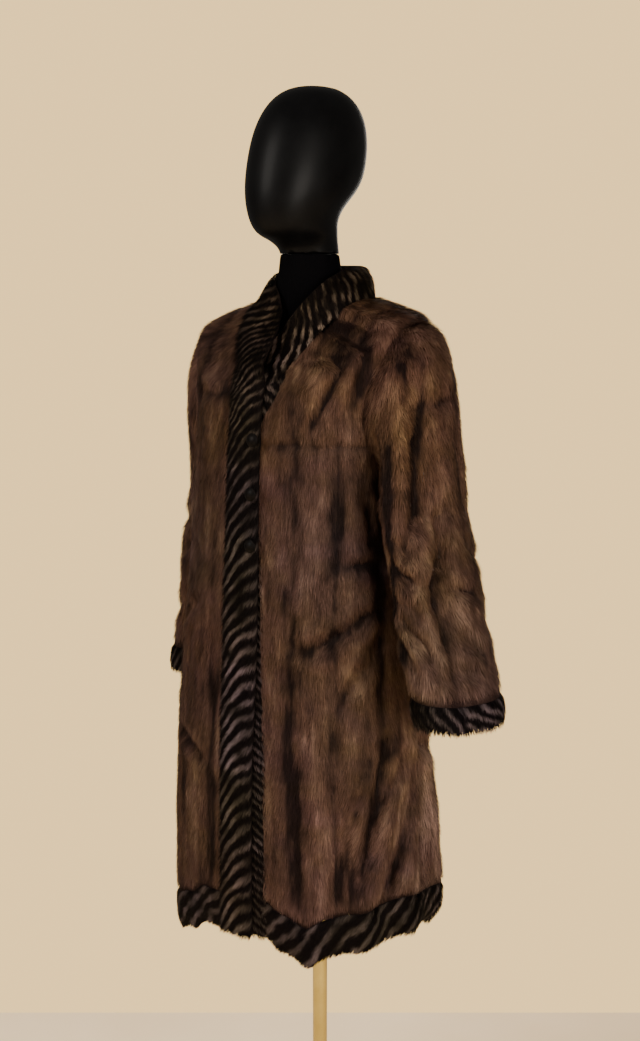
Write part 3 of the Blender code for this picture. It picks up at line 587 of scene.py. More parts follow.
def make_shell(name, skin, depth, wall, colours, materials):
    """A thin closed skin below the fur, from every second place: painted outside, lined inside."""
    outer = (skin.points - depth * skin.normals)[::2, ::2]
    inner = (skin.points - (depth + wall) * skin.normals)[::2, ::2]
    normals, colours = skin.normals[::2, ::2], colours[::2, ::2]
    rows, columns = outer.shape[:2]
    index = np.arange(rows * columns).reshape(rows, columns)
    if skin.ring:
        index = np.concatenate([index, index[:, :1]], axis=1)
    quads = np.stack((index[:-1, :-1], index[:-1, 1:], index[1:, 1:], index[1:, :-1]), -1).reshape(-1, 4)
    count = rows * columns
    a, b, c = (outer.reshape(-1, 3)[quads[:, i]] for i in (0, 1, 3))
    facing = (np.cross(b - a, c - a) * normals.reshape(-1, 3)[quads[:, 0]]).sum() > 0
    if not facing:
        quads = quads[:, ::-1]
    around = [index[0], index[-1][::-1]]
    if not skin.ring:
        around = [np.concatenate([index[0], index[1:, -1], index[-1][::-1][1:], index[::-1, 0][1:]])]
    rims = []
    for line in around:
        rim = np.stack((line[:-1], line[1:], line[1:] + count, line[:-1] + count), -1)
        rims.append(rim[:, ::-1] if facing else rim)
    faces = [(quads, 0), (quads[:, ::-1] + count, 1), (np.concatenate(rims), 0)]
    points = np.concatenate([outer.reshape(-1, 3), inner.reshape(-1, 3)])
    piece = make_mesh(name, points, faces, materials)
    paint(piece, np.tile(colours.reshape(-1, 3), (2, 1)))
    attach(piece, "root")
    return piece


def sampled(grid, r, c, fr, fc, ring):
    """Values of a grid between its own places."""
    after = (c + 1) % grid.shape[1] if ring else c + 1
    if grid.ndim == 3:
        fr, fc = fr[:, None], fc[:, None]
    low = grid[r, c] * (1 - fc) + grid[r, after] * fc
    high = grid[r + 1, c] * (1 - fc) + grid[r + 1, after] * fc
    return low * (1 - fr) + high * fr


class Coat:
    """One kind of fur: its finish and slot, how deep its skin lies below the solids' outer
    faces, and the length, width and rise in degrees of its long and its short hairs. A long
    hair has a rise for each of its halves."""

    def __init__(self, finish, slot, depth, guard, down):
        self.finish, self.slot, self.depth = finish, slot, depth
        self.guard, self.down = guard, down


# Spreads from hair to hair: of the roll in degrees, the tone, the light on it, and the curl
ROLL_SPREAD, TONE_SPREAD, SHINE_SPREAD, CURL_SPREAD = 12.0, 0.19, 0.09, 0.05
# and of the rise of a long hair's two halves and of a short hair, in degrees
RISE_SPREAD = (2.5, 4.0, 3.0)
# Tone at the points of a long and a short hair, from its root to its tip
GUARD_SHADE = (0.50, 0.50, 0.96, 0.96, 1.22)
DOWN_SHADE = (0.52, 0.52, 1.14)
# Where a hair's points lie in its own cell of the bake map
GUARD_CELL = ((0.1, 0.1), (0.9, 0.1), (0.15, 0.5), (0.85, 0.5), (0.5, 0.9))
DOWN_CELL = ((0.1, 0.1), (0.9, 0.1), (0.5, 0.9))


def hair_roots(skin, kind, count, lay, rng):
    """Where hairs grow from a skin, evenly by area, and which way each one lies there."""
    points, normals = skin.points - kind.depth * skin.normals, skin.facing
    across_step = np.roll(points, -1, axis=1) - points if skin.ring else np.diff(points, axis=1)
    up_step = np.diff(points, axis=0)
    across_step = across_step[:-1]
    up_step = up_step if skin.ring else up_step[:, :-1]
    area = np.linalg.norm(np.cross(across_step, up_step), axis=-1)
    total = np.cumsum(area.ravel())
    pick = np.searchsorted(total, (np.arange(count) + rng.random(count)) / count * total[-1])
    r, c = np.divmod(np.minimum(pick, area.size - 1), area.shape[1])
    fr, fc = rng.random(count), rng.random(count)
    root = sampled(points, r, c, fr, fc, skin.ring)
    normal = unit(sampled(normals, r, c, fr, fc, skin.ring))
    unwrapped = skin.across
    if skin.ring:
        unwrapped = np.concatenate([unwrapped, unwrapped[:, :1] + 360.0], axis=1)
    across = sampled(unwrapped, r, c, fr, fc, False)
    up = sampled(skin.up, r, c, fr, fc, skin.ring)
    way = laid_flat(lay(root, normal, across, up), normal)
    side = np.cross(way, normal)
    swerve = 0.14 * wander.at(root, 0.060) + 0.08 * other_wander.at(root, 0.020)
    swerve = swerve + rng.normal(0, 0.05, count)
    way = unit(way + swerve[:, None] * side)
    return root, normal, way, np.cross(way, normal), across, up


def blade_faces(blades, outward, first):
    """Faces of blades of 3 or 5 points, which face outwards. The first point's number is given."""
    low, high = blades[:, 1] - blades[:, 0], blades[:, 2] - blades[:, 0]
    facing = ((np.cross(low, high) * outward).sum(-1) > 0)[:, None]
    start = first + np.arange(len(blades))[:, None] * blades.shape[1]
    if blades.shape[1] == 3:
        return [(start + np.where(facing, (0, 1, 2), (1, 0, 2)), 0)]
    quads = start + np.where(facing, (0, 1, 3, 2), (1, 0, 2, 3))
    return [(quads, 0), (start + np.where(facing, (2, 3, 4), (3, 2, 4)), 0)]


def unwrap_hairs(piece, guards, hairs):
    """Gives each hair its own cell of the bake map, the long hairs first."""
    columns = int(math.ceil(math.sqrt(hairs)))
    corner = np.stack(np.divmod(np.arange(hairs), columns), -1)[:, ::-1][:, None, :]
    cells = ((corner[:guards], GUARD_CELL), (corner[guards:], DOWN_CELL))
    in_cell = np.concatenate([((at + np.array(cell)) / columns).reshape(-1, 2) for at, cell in cells])
    uv = piece.data.uv_layers.new(name="OFBake")
    loops = np.empty(len(piece.data.loops), np.int32)
    piece.data.loops.foreach_get("vertex_index", loops)
    uv.data.foreach_set("uv", in_cell[loops].astype(np.float32).ravel())


def grow_fur(name, skin, kind, counts, lay, colour_of, seed):
    """Fur on a skin: long bent guard hairs over many short straight ones, all blades that
    taper to a point. counts is how many of each. lay gives the way the fur lies."""
    rng = np.random.default_rng(seed)
    guards, downs = counts
    hairs = guards + downs
    root, normal, way, side, across, up = hair_roots(skin, kind, hairs, lay, rng)
    order = rng.permutation(hairs)
    g, d = order[:guards], order[guards:]
    lift = 1 + 0.14 * third_wander.at(root, 0.016) + 0.16 * wander.at(root, 0.034)
    size = 1 + 0.08 * third_wander.at(root, 0.02) + rng.uniform(-0.20, 0.14, hairs)
    roll = np.radians(rng.normal(0, ROLL_SPREAD, hairs))[:, None]
    flat = np.cos(roll) * side + np.sin(roll) * normal
    tone = np.exp(rng.normal(0, TONE_SPREAD, hairs))
    lean = 0.16 * third_wander.at(root, 0.013) + rng.normal(0, SHINE_SPREAD, hairs)
    tilt = 0.16 * other_wander.at(root, 0.013) + rng.normal(0, SHINE_SPREAD, hairs)
    shine = unit(normal + lean[:, None] * way + tilt[:, None] * side)

    length, width, rises = kind.guard
    long = (length * size[g])[:, None]
    first, second = (
        np.radians(rise * lift[g] + rng.normal(0, spread, guards))[:, None]
        for rise, spread in zip(rises, RISE_SPREAD)
    )
    curl = (0.10 * other_wander.at(root[g], 0.010) + rng.normal(0, CURL_SPREAD, guards))[:, None]
    middle = root[g] + 0.5 * long * (np.cos(first) * way[g] + np.sin(first) * normal[g])
    tip_way = unit(way[g] + curl * side[g])
    tip = middle + 0.5 * long * (np.cos(second) * tip_way + np.sin(second) * normal[g])
    half = 0.5 * width * size[g][:, None] * flat[g]
    guard = np.stack(
        (root[g] - half, root[g] + half, middle - 0.9 * half, middle + 0.9 * half, tip), axis=1
    )

    length, width, rise = kind.down
    rise = np.radians(rise * lift[d] + rng.normal(0, RISE_SPREAD[2], downs))[:, None]
    short = (length * size[d])[:, None]
    half = 0.5 * width * size[d][:, None] * flat[d]
    tip = root[d] + short * (np.cos(rise) * way[d] + np.sin(rise) * normal[d])
    down = np.stack((root[d] - half, root[d] + half, tip), axis=1)

    faces = blade_faces(guard, normal[g], 0) + blade_faces(down, normal[d], 5 * guards)
    points = np.concatenate([guard.reshape(-1, 3), down.reshape(-1, 3)])
    piece = make_mesh(name, points, faces, [kind.finish.material])
    shine = np.concatenate([np.repeat(shine[g], 5, axis=0), np.repeat(shine[d], 3, axis=0)])
    piece.data.normals_split_custom_set_from_vertices(shine.astype(np.float32))

    colour = colour_of(root, across, up) * tone[:, None]
    shades = ((colour[g], GUARD_SHADE), (colour[d], DOWN_SHADE))
    paint(piece, np.concatenate([
        (tones[:, None, :] * np.array(shade)[:, None]).reshape(-1, 3) for tones, shade in shades
    ]))
    unwrap_hairs(piece, guards, hairs)
    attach(piece, "root")
    return piece


# Tones of mink from the darkest back line to the lightest flank, in linear light.
MINK_DARK = np.array((0.0095, 0.0050, 0.0044))
MINK_MID = np.array((0.0720, 0.0395, 0.0285))
MINK_LIGHT = np.array((0.2450, 0.1560, 0.1130))

# The dark back lines of the strips: angle at the skirt
BACK_LINES = (24, 45.5, 69, 92, 116, 139, 161, 183, 205, 228, 251, 274, 297, 322, 344)
# Streaks, partly the pelts' own and partly painted light: most dark ones follow the creases as painted
# shade in them, and some light ones beside them are painted light on the folds' lit sides. For each: angle
# and height of both ends, width in degrees, tone added
BODY_STREAKS_AND_PAINTED_LIGHT = (
    (36, 0.84, 37, 0.69, 4, 0.08), (37, 0.69, 35, 0.57, 4, 0.16), (15, 0.9, 14, 0.7, 5, 0.1),
    (28, 1.075, 27, 1.02, 3, 0.28), (14, 1.14, 13, 1.08, 4, 0.14), (34, 1.345, 29, 1.3, 2.2, 0.22),
    (29, 1.3, 28, 1.248, 2, 0.24), (45, 1.27, 46, 1.252, 8, 0.18), (60, 1.29, 62, 1.255, 6, 0.16),
    (48, 1.377, 32, 1.326, 2.6, 0.12), (23, 0.86, 26, 0.59, 3, -0.18), (45, 0.86, 43, 0.6, 3, -0.08),
    (11, 1.241, 63, 1.24, 1.8, -0.18), (62, 1.404, 46, 1.363, 2, -0.2), (46, 1.363, 38, 1.316, 2.2, -0.3),
    (38, 1.316, 33, 1.275, 2, -0.3), (45, 1.2, 46, 1.08, 2.5, -0.02), (57, 1.2, 65, 1.11, 2.5, -0.2),
    (70, 0.81, 58, 0.68, 3, -0.18), (58, 0.68, 48, 0.59, 3, -0.14), (86, 0.74, 67, 0.59, 2.5, 0.18),
    (80, 0.8, 70, 0.7, 3, 0.12), (31, 0.958, 66, 1.006, 3, -0.2), (51, 1.077, 66, 1.071, 2, -0.26),
    (46, 0.94, 60, 0.9, 3, 0.14), (-30, 1.31, -13, 1.309, 2.5, -0.2), (-44, 0.8, -22, 0.776, 2.5, -0.24),
    (-26, 0.74, -24, 0.64, 6, 0.12), (-14, 0.9, -13, 0.62, 3, -0.22), (-24, 1.24, -24, 1.08, 5, 0.08),
    (40, 0.765, 56, 0.752, 2, -0.12), (99, 0.79, 103, 0.65, 4, 0.14), (80, 0.79, 68, 0.722, 2.4, -0.16),
    (68, 0.722, 62, 0.68, 3, -0.14), (82, 0.758, 74, 0.68, 2, 0.3), (74, 0.68, 65, 0.61, 2, 0.24),
    (89, 0.745, 74, 0.644, 2.5, -0.26), (74, 0.644, 65, 0.59, 2.5, -0.22), (90, 0.7, 84, 0.61, 2.5, 0.22),
    (60, 0.8, 54, 0.728, 2.5, -0.22), (54, 0.728, 43, 0.61, 2.5, -0.22), (55, 0.908, 52, 0.926, 4, 0.16),
    (50, 0.884, 54, 0.915, 2, -0.2), (78, 0.824, 74, 0.81, 3.5, -0.22), (83, 1.434, 65, 1.403, 3, -0.18),
    (65, 1.403, 57, 1.374, 3.2, -0.28), (57, 1.374, 54, 1.301, 2.4, -0.24),
    (60, 1.352, 58, 1.325, 6, -0.18), (50, 1.345, 47, 1.285, 3, 0.12), (25, 0.78, 24, 0.6, 3, -0.14),
    (77, 1.11, 77, 0.98, 2.6, 0.1), (56, 0.765, 51, 0.66, 4, 0.15), (33, 1.18, 33, 1.02, 4, 0.06),
    (18, 1, 17, 0.86, 4, 0.05), (65, 1.409, 47, 1.33, 2.6, 0.12), (77, 1.42, 66, 1.375, 3.2, 0.24),
    (61, 1.296, 61, 1.252, 5, 0.18), (70, 1.19, 68, 1.02, 6, -0.26), (96, 0.8, 98, 0.56, 14, 0.17),
)
# Where the strips sweep forward near the hem: angle, share
SWEEP = ((30, 0.0), (42, 0.16), (50, 1.0), (70, 1.0), (100, 0.0))
SWEEP_DEG = 22.0
SWEEP_FROM, SWEEP_TO = 0.78, 0.59
CHEST_HALF_WIDTH = 0.188
# Tone between the lines, how far in degrees a line reaches, and where a strip's join lies
BODY_TONE = 0.43
LINE_DEG, SHADOW_DEG = 3.0, 6.0
JOIN_AT_DEG, JOIN_DEG = 9.5, 1.7


def mixed(tone):
    """A mink colour for a tone from 0, darkest, to 1, lightest."""
    tone = np.clip(tone, 0.0, 1.15)[..., None]
    low = MINK_DARK + (MINK_MID - MINK_DARK) * ease(0.0, 0.5, tone)
    return low + (MINK_LIGHT - MINK_MID) * np.clip((tone - 0.45) / 0.55, 0.0, None) ** 1.3


def tinted(colour, points):
    """Drifts of the pelts' colour towards plum and copper, which is more at the shoulders."""
    plum = wander.at(points, 0.09)[..., None] + 0.8 * third_wander.at(points, 0.020)[..., None]
    copper = other_wander.at(points, 0.12)[..., None] + 1.3 * ease(1.16, 1.36, points[..., 2:])
    return colour * (1 + plum * (0.0, -0.04, 0.12)) * (1 + copper * (0.09, 0.0, -0.14))


def tufts(points):
    """Fine unevenness that is drawn out down the fur."""
    return third_wander.at(points * (1, 1, 0.16), 0.0055)


def streaks_and_painted_light(points, across, streaks_and_light, per_degree):
    """Tone of streaks, the pelts' own and painted light and shade, whose edges break up between the tufts.
    """
    across, up = wandering(points, across, points[..., 2], per_degree)
    across = across + 0.0030 * tufts(points) / per_degree
    tone = np.zeros(np.broadcast(across, up).shape)
    for *ends, width, strength in streaks_and_light:
        near = beside(across, up, ends, per_degree)[1] / (width * per_degree)
        tone += strength * np.exp(-(near**2))
    return tone


def mink_colour(tone, points, across, streaks_and_light, creases, per_degree):
    """The colour of a tone, with its streaks of the pelts' own colour and of painted light and shade, and
    with painted shade in its creases.
    """
    # The streaks add the pelts' own tone together with painted light and shade
    tone = tone + streaks_and_painted_light(points, across, streaks_and_light, per_degree)
    # Painted shade in the creases, and painted light on their lips and on ridges
    tone = tone + CREASE_SHADE * creased(points, across, creases, per_degree)
    return tinted(mixed(tone), points)


def strip_angle(points, angle, level):
    """The place round the coat that a strip has at the skirt, wherever it runs and wanders."""
    share = rows_at(SWEEP, angle)[1]
    swept = angle + SWEEP_DEG * share * ease(SWEEP_FROM, SWEEP_TO, points[..., 2])
    by_x = np.degrees(np.arcsin(np.clip(points[..., 0] / CHEST_HALF_WIDTH, -0.999, 0.999)))
    behind = np.abs(apart(angle, 0.0)) > 90
    by_x = np.where(behind, 180.0 - by_x, by_x)
    upper = ease(1.25, 1.36, level)
    return swept + upper * apart(by_x, swept) + 1.2 * wander.at(points * (1, 1, 0.4), 0.05)


def grain(points):
    """Soft blotches and short streaks that every pelt has, as tone."""
    tone = 0.14 * wander.at(points * (1, 1, 0.14), 0.009)
    tone = tone + 0.12 * third_wander.at(points * (1, 1, 0.2), 0.0045)
    tone = tone + 0.11 * third_wander.at(points * (1, 1, 0.35) + 0.2, 0.014)
    tone = tone + 0.06 * wander.at(points + 0.5, 0.010)
    tone = tone + 0.12 * other_wander.at(points * (1, 1, 0.6) + 0.7, 0.030)
    return tone + 0.07 * other_wander.at(points, 0.10)


def mink_body(points, angle, level):
    """Strips with a dark line down the middle, a fainter join beside it, and their own tone."""
    strip = strip_angle(points, angle, level) + 1.1 * tufts(points)
    tone = BODY_TONE + grain(points)
    for n, line in enumerate(BACK_LINES):
        off = apart(strip, line)
        strength = 0.70 + 0.60 * wander.at(points * (1, 1, 0.5) + 0.37 * n, 0.07)
        tone = tone - 0.18 * strength * np.exp(-((off / LINE_DEG) ** 2))
        tone = tone - 0.06 * np.exp(-((off / SHADOW_DEG) ** 2))
        strength = 0.60 + 0.80 * wander.at(points * (1, 1, 0.5) + 0.53 * n, 0.06)
        tone = tone - 0.10 * strength * np.exp(-(((off - JOIN_AT_DEG) / JOIN_DEG) ** 2))
        tone = tone + 0.03 * math.sin(2.4 * n) * (np.abs(off) < 11)
    return mink_colour(tone, points, angle, BODY_STREAKS_AND_PAINTED_LIGHT, BODY_CREASES, BODY_PER_DEG)


def strip_relief(points, angle, level):
    """Strips stand a little proud between the lines where they are joined."""
    strip = strip_angle(points, angle, level)
    out = 0.0011 * other_wander.at(points * (1, 1, 0.5), 0.030) + 0.0006
    for n, line in enumerate(BACK_LINES):
        deep = 0.0020 * (1 + 0.5 * wander.at(points * (1, 1, 0.5) + 0.37 * n, 0.09))
        out = out - deep * np.exp(-((apart(strip, line) / 3.4) ** 2))
    return out


DOWNWARDS = np.array((0.0, 0.0, -1.0))


def round_coat(angle):
    """The level direction round the coat at an angle."""
    turn = np.radians(angle)
    return np.stack((np.cos(turn), np.sin(turn), np.zeros_like(turn)), axis=-1)


def body_lay(points, normal, angle, level):
    """Down the strips: along the skirt's sweep, and straight down over the shoulders."""
    z = points[..., 2]
    share = rows_at(SWEEP, angle)[1]
    step = ease(SWEEP_FROM, SWEEP_TO, z - 0.002) - ease(SWEEP_FROM, SWEEP_TO, z + 0.002)
    tilt = SWEEP_DEG * share * step / 0.004 * BODY_PER_DEG
    down = laid_flat(DOWNWARDS - tilt[..., None] * round_coat(angle), normal)
    outward = np.array((1.5, 0.0, 0.0)) * np.sign(points[..., :1])
    return down + outward * ease(0.45, 1.0, normal[..., 2:]) * ease(1.36, 1.41, level)[..., None]


def own_colour(finish):
    """The colour that each point of a piece carries."""
    return finish.node("ShaderNodeAttribute", {"attribute_name": "hair_colour"}, {}, "Color")


def fur_finish(name, roughness, specular):
    made = Finish(name, Roughness=roughness, Specular_IOR_Level=specular)
    made.feed("Base Color", own_colour(made))
    return made


underfur = Finish("underfur", Roughness=0.90, Specular_IOR_Level=0.05)
depth_colour = own_colour(underfur)
combing = underfur.noise(420.0, 2.0, (1.0, 1.0, 0.08))
underfur.feed("Base Color", underfur.blend(combing, (0.004, 0.002, 0.002, 1.0), depth_colour))
underfur.relief(combing, 0.6, 0.0015)

satin = Finish("brown satin", Roughness=0.38, Sheen_Weight=0.3, Sheen_Roughness=0.3)
weft = satin.noise(900.0, 2.0, (1.0, 1.0, 0.2))
slub = satin.noise(30.0, 3.0, (1.0, 1.0, 0.3))
satin.coloured(slub * 0.7 + weft * 0.3, (0.25, (0.020, 0.010, 0.007)), (0.80, (0.055, 0.028, 0.018)))
satin.relief(weft, 0.15, 0.0003)

# How thick a skin is with its lining, and how dark it is between the roots of the fur
SKIN_WALL = 0.0016
SKIN_SHADE = 0.45
MINK = Coat(
    fur_finish("mink", 0.68, 0.07), "mink", 0.0056, (0.0145, 0.0009, (26.0, 10.0)), (0.0125, 0.0010, 18.0)
)


def zones_up(*spans):
    """Rows up the coat, as (from, to, steps) of zones."""
    lines = [np.linspace(low, high, steps, endpoint=False) for low, high, steps in spans]
    return np.concatenate([*lines, [spans[-1][1]]])


BODY_ZONES = zones_up((1.0, 2.0, 130), (2.0, 3.0, 50), (3.0, 4.0, 10))
BODY_PANELS = {
    # side: nodes it stands for, columns, long and short hairs, cut width, cut length, cut area
    "back": (["coat_back", "back_yoke"], 120, (14000, 126000), 0.68, 0.95, 0.50),
    "left": (["front_left"], 60, (15000, 128000), 0.30, 0.88, 0.20),
    "right": (["front_right"], 60, (10000, 96000), 0.30, 0.88, 0.20),
}


def make_pelt(name, nodes, skin, kind, counts, lay, colour_of, rests_on, seed, furred=(0, None)):
    """One sewn piece of fur: its skin, which replaces the nodes, and the fur that grows on it,
    between two of its rows."""
    colours = colour_of(skin.points, skin.across, skin.up) * SKIN_SHADE
    shell = make_shell(name, skin, kind.depth, SKIN_WALL, colours, [underfur.material, satin.material])
    hairs = grow_fur(name + "_fur", skin.rows(*furred), kind, counts, lay, colour_of, seed)
    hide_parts(*nodes)


def panel_name(side):
    return "mink_back" if side == "back" else "mink_front_" + side


for number, (side, (nodes, columns, counts, *cut)) in enumerate(BODY_PANELS.items()):
    skin = panel_skin(side, BODY_ZONES, columns)
    ends = ease(1.0, 1.12, BODY_ZONES)[:, None]
    skin.pushed(strip_relief(skin.points, skin.across, skin.up) * ends)
    make_pelt(
        panel_name(side), nodes, skin, MINK, counts, body_lay, mink_body, ["torso"], 100 + number,
        (3, None),
    )


# ---------------------------------------------------------------- sleeves
# Two set-in sleeves of mink strips running down the arm, pushed into soft folds at the
# elbow. Each is one tube, sewn into the armhole and ending in a striped cuff.

# Rings down the left arm, and down the right one before it is mirrored:
# z, x, y, half_out, half_along, turn
SLEEVE_RINGS = {
    "left": (
        (1.155, 0.232, -0.065, 0.038, 0.081, -12), (1.11, 0.246, -0.069, 0.041, 0.081, -12),
        (1.03, 0.268, -0.076, 0.044, 0.08, -11), (0.96, 0.29, -0.085, 0.048, 0.077, -10),
        (0.909, 0.305, -0.091, 0.055, 0.075, -9), (0.862, 0.314, -0.097, 0.058, 0.073, -8),
    ),
    "right": (
        (1.15, 0.2255, 0.051, 0.031, 0.081, 9), (1.065, 0.237, 0.05, 0.036, 0.083, 11),
        (0.975, 0.249, 0.053, 0.042, 0.08, 12), (0.92, 0.259, 0.054, 0.048, 0.077, 10),
        (0.878, 0.269, 0.054, 0.055, 0.075, 9), (0.824, 0.276, 0.055, 0.059, 0.075, 8),
    ),
}
# angle, z, width, reach, depth
SLEEVE_FOLDS = {
    "left": (
        (165, 1.05, 15, 0.11, -0.008), (135, 1.03, 16, 0.12, 0.004), (200, 1.07, 16, 0.13, 0.004),
        (60, 0.98, 20, 0.05, 0.006), (100, 1.12, 18, 0.09, -0.005), (240, 1.08, 18, 0.12, -0.006),
        (290, 1, 20, 0.1, 0.004),
    ),
    "right": (
        (170, 1.06, 16, 0.11, -0.006), (140, 1.02, 16, 0.12, 0.004), (205, 1.06, 16, 0.12, 0.004),
        (235, 1.08, 18, 0.1, -0.006), (95, 1.06, 18, 0.1, -0.005), (290, 1, 20, 0.1, 0.004),
    ),
}
CUFF_TOP = {"left": 0.909, "right": 0.878}
# share of the way down the cuff, how far its fur turns in there
CUFF_ROLL = ((0.0, 0.0), (0.34, 0.0), (0.67, 0.002), (1.0, 0.009))

# Creases, as on the body
SLEEVE_CREASES = {
    "left": (
        (150, 1.32, 147, 1.268, 12, -6.5, 0.6), (147, 1.268, 144, 1.244, 11, -6, 0.6),
        (144, 1.244, 150, 1.19, 10, -7, 0.7), (150, 1.19, 148, 1.155, 10, -7, 0.7),
        (148, 1.155, 120, 1.112, 10, -7, 0.8), (120, 1.112, 104, 1.104, 10, -5, 0.8),
        (70, 1.182, 140, 1.186, 7, -2.2, 0.3), (84, 1.092, 104, 1.076, 10, -6, 0.9),
        (104, 1.076, 128, 1.07, 10, -7, 0.9), (176, 1.15, 168, 1.099, 10, -6, 0.6),
        (168, 1.099, 152, 1.05, 11, -7, 0.7), (152, 1.05, 148, 1, 11, -6, 0.6),
        (148, 1, 144, 0.93, 10, -5, 0.5), (96, 1.012, 120, 0.985, 10, -5.5, 0.9),
        (120, 0.985, 128, 0.955, 10, -5, 0.7), (60, 1, 84, 0.966, 11, -5, 0.8),
        (180, 1.056, 196, 1.046, 9, -6, 0.9), (182, 0.99, 198, 0.962, 10, -6, 0.9),
        (162, 0.962, 186, 0.946, 9, -4.5, 0.8), (150, 1.3, 196, 1.312, 10, -5, 0.8),
        (204, 1.25, 224, 1.18, 12, -5, 0.6), (214, 1.11, 240, 1.08, 12, -6, 0.8),
        (246, 1.06, 274, 1.085, 12, -5.5, 0.8), (232, 1.01, 262, 0.985, 12, -5, 0.8),
        (276, 0.98, 300, 1.005, 12, -5, 0.8), (250, 1.24, 268, 1.16, 13, -5, 0.6),
        (20, 1.06, 46, 1.035, 12, -5, 0.8), (166, 1.365, 200, 1.335, 40, 5, 0),
    ),
    "right": (
        (150, 1.29, 150, 1.19, 12, -5.5, 0.6), (150, 1.19, 164, 1.09, 12, -6, 0.6),
        (96, 1.11, 128, 1.085, 11, -6, 0.9), (60, 1.06, 96, 1.045, 12, -5, 0.8),
        (140, 1.02, 168, 0.995, 11, -6, 0.9), (176, 0.96, 200, 0.985, 11, -5.5, 0.8),
        (100, 0.96, 128, 0.94, 11, -5, 0.8), (206, 1.24, 220, 1.15, 12, -5, 0.6),
        (216, 1.08, 246, 1.06, 12, -5.5, 0.8), (256, 1.01, 288, 1.035, 12, -5, 0.8),
        (228, 0.97, 256, 0.945, 12, -5, 0.8), (262, 1.23, 276, 1.15, 13, -5, 0.6),
    ),
}
SLEEVE_PER_DEG = 0.00117
SLEEVE_HEAD = 0.0026
SLEEVE_TONE = 0.51
SLEEVE_LINES = (28, 86, 148, 205, 264, 320)
SLEEVE_LINE_DEG, SLEEVE_SHADOW_DEG = 9.0, 20.0
# Streaks as on the body: partly the pelts' own, partly painted shade along the creases and painted
# highlights
SLEEVE_STREAKS_AND_PAINTED_LIGHT = {
    "left": (
        # The second streak on the line below is a painted highlight on the sleeve's cap
        (132, 1.285, 130, 1.195, 8, 0.03), (147, 1.355, 141, 1.31, 6, 0.26),
        (143, 1.385, 137, 1.345, 9, -0.08), (150, 1.15, 146, 1.1, 11, 0.12),
        (168, 1.37, 186, 1.33, 22, -0.08), (86, 0.996, 92, 0.985, 7, 0.24), (134, 1.05, 132, 0.98, 12, 0.1),
        (177, 1.035, 175, 1.018, 8, 0.2), (156, 1.322, 150, 1.247, 5, -0.38),
        (150, 1.247, 150, 1.16, 5, -0.38), (148, 1.155, 118, 1.11, 6, -0.2),
        (150, 1.302, 192, 1.312, 5, -0.2), (104, 1.077, 128, 1.07, 5, -0.26),
        (168, 1.11, 150, 1.01, 5, -0.22), (148, 1, 144, 0.93, 5, -0.2), (182, 1.056, 194, 1.048, 5, -0.24),
        (184, 0.988, 197, 0.964, 6, -0.22), (70, 1.183, 140, 1.185, 3, -0.16),
        (190, 1.26, 200, 1.12, 10, -0.08), (150, 0.975, 160, 0.93, 8, 0.08),
        (150, 1.39, 141, 1.354, 5, -0.14), (141, 1.354, 132, 1.308, 4, -0.3),
        (129, 1.352, 122, 1.315, 7, 0.16), (155, 1.345, 152, 1.318, 5, 0.1),
        (168, 1.392, 177, 1.36, 8, -0.1), (129, 1.29, 124, 1.255, 8, 0.07), (140, 1.1, 132, 1.06, 10, 0.2),
        (92, 1, 112, 0.986, 5, 0.16), (117, 0.975, 124, 0.95, 6, -0.18), (140, 0.94, 158, 0.915, 7, 0.18),
        (180, 1.08, 184, 1.058, 6, 0.14), (108, 1.06, 100, 1.03, 8, -0.12),
        # The four streaks below are painted shade: the shadow in the gap between the sleeve and the body
        (106, 1.24, 100, 1.173, 8, -0.46), (100, 1.173, 90, 1.119, 9, -0.46),
        (90, 1.119, 74, 1.045, 9, -0.44), (74, 1.045, 64, 0.97, 9, -0.4),
    ),
    "right": (
        (150, 1.29, 152, 1.18, 6, -0.2), (120, 1.24, 118, 1.16, 12, 0.16),
        (100, 1.104, 126, 1.086, 5, -0.22), (140, 1.018, 166, 0.997, 5, -0.2),
        (120, 1.02, 118, 0.96, 12, 0.12), (180, 1.1, 178, 1.02, 10, 0.12),
    ),
}


def sleeve_ring(side, z, turn, out=0.0):
    """Points of a sleeve below the armpit, before it is mirrored for the right arm."""
    table = SLEEVE_RINGS[side][::-1]
    _, x, y, half_out, half_along, twist = rows_at(table, z)
    a, twist = np.radians(turn), np.radians(twist)
    more = out
    for middle, height, width, reach, depth in SLEEVE_FOLDS[side]:
        near = (apart(turn, middle) / width) ** 2 + ((z - height) / reach) ** 2
        more = more + depth * np.exp(-near)
    outward = np.stack((np.cos(twist), np.sin(twist), np.zeros_like(twist)), axis=-1)
    forward = np.stack((np.sin(twist), -np.cos(twist), np.zeros_like(twist)), axis=-1)
    middle = np.stack((x, y, z), axis=-1)
    by_out = ((half_out + more) * np.cos(a))[..., None]
    by_along = ((half_along + more) * np.sin(a))[..., None]
    return middle - outward * by_out + forward * by_along


# The least share of a sleeve's way out of its armhole that stays on the coat's surface
LEAST_INTO_ARMHOLE = 0.45


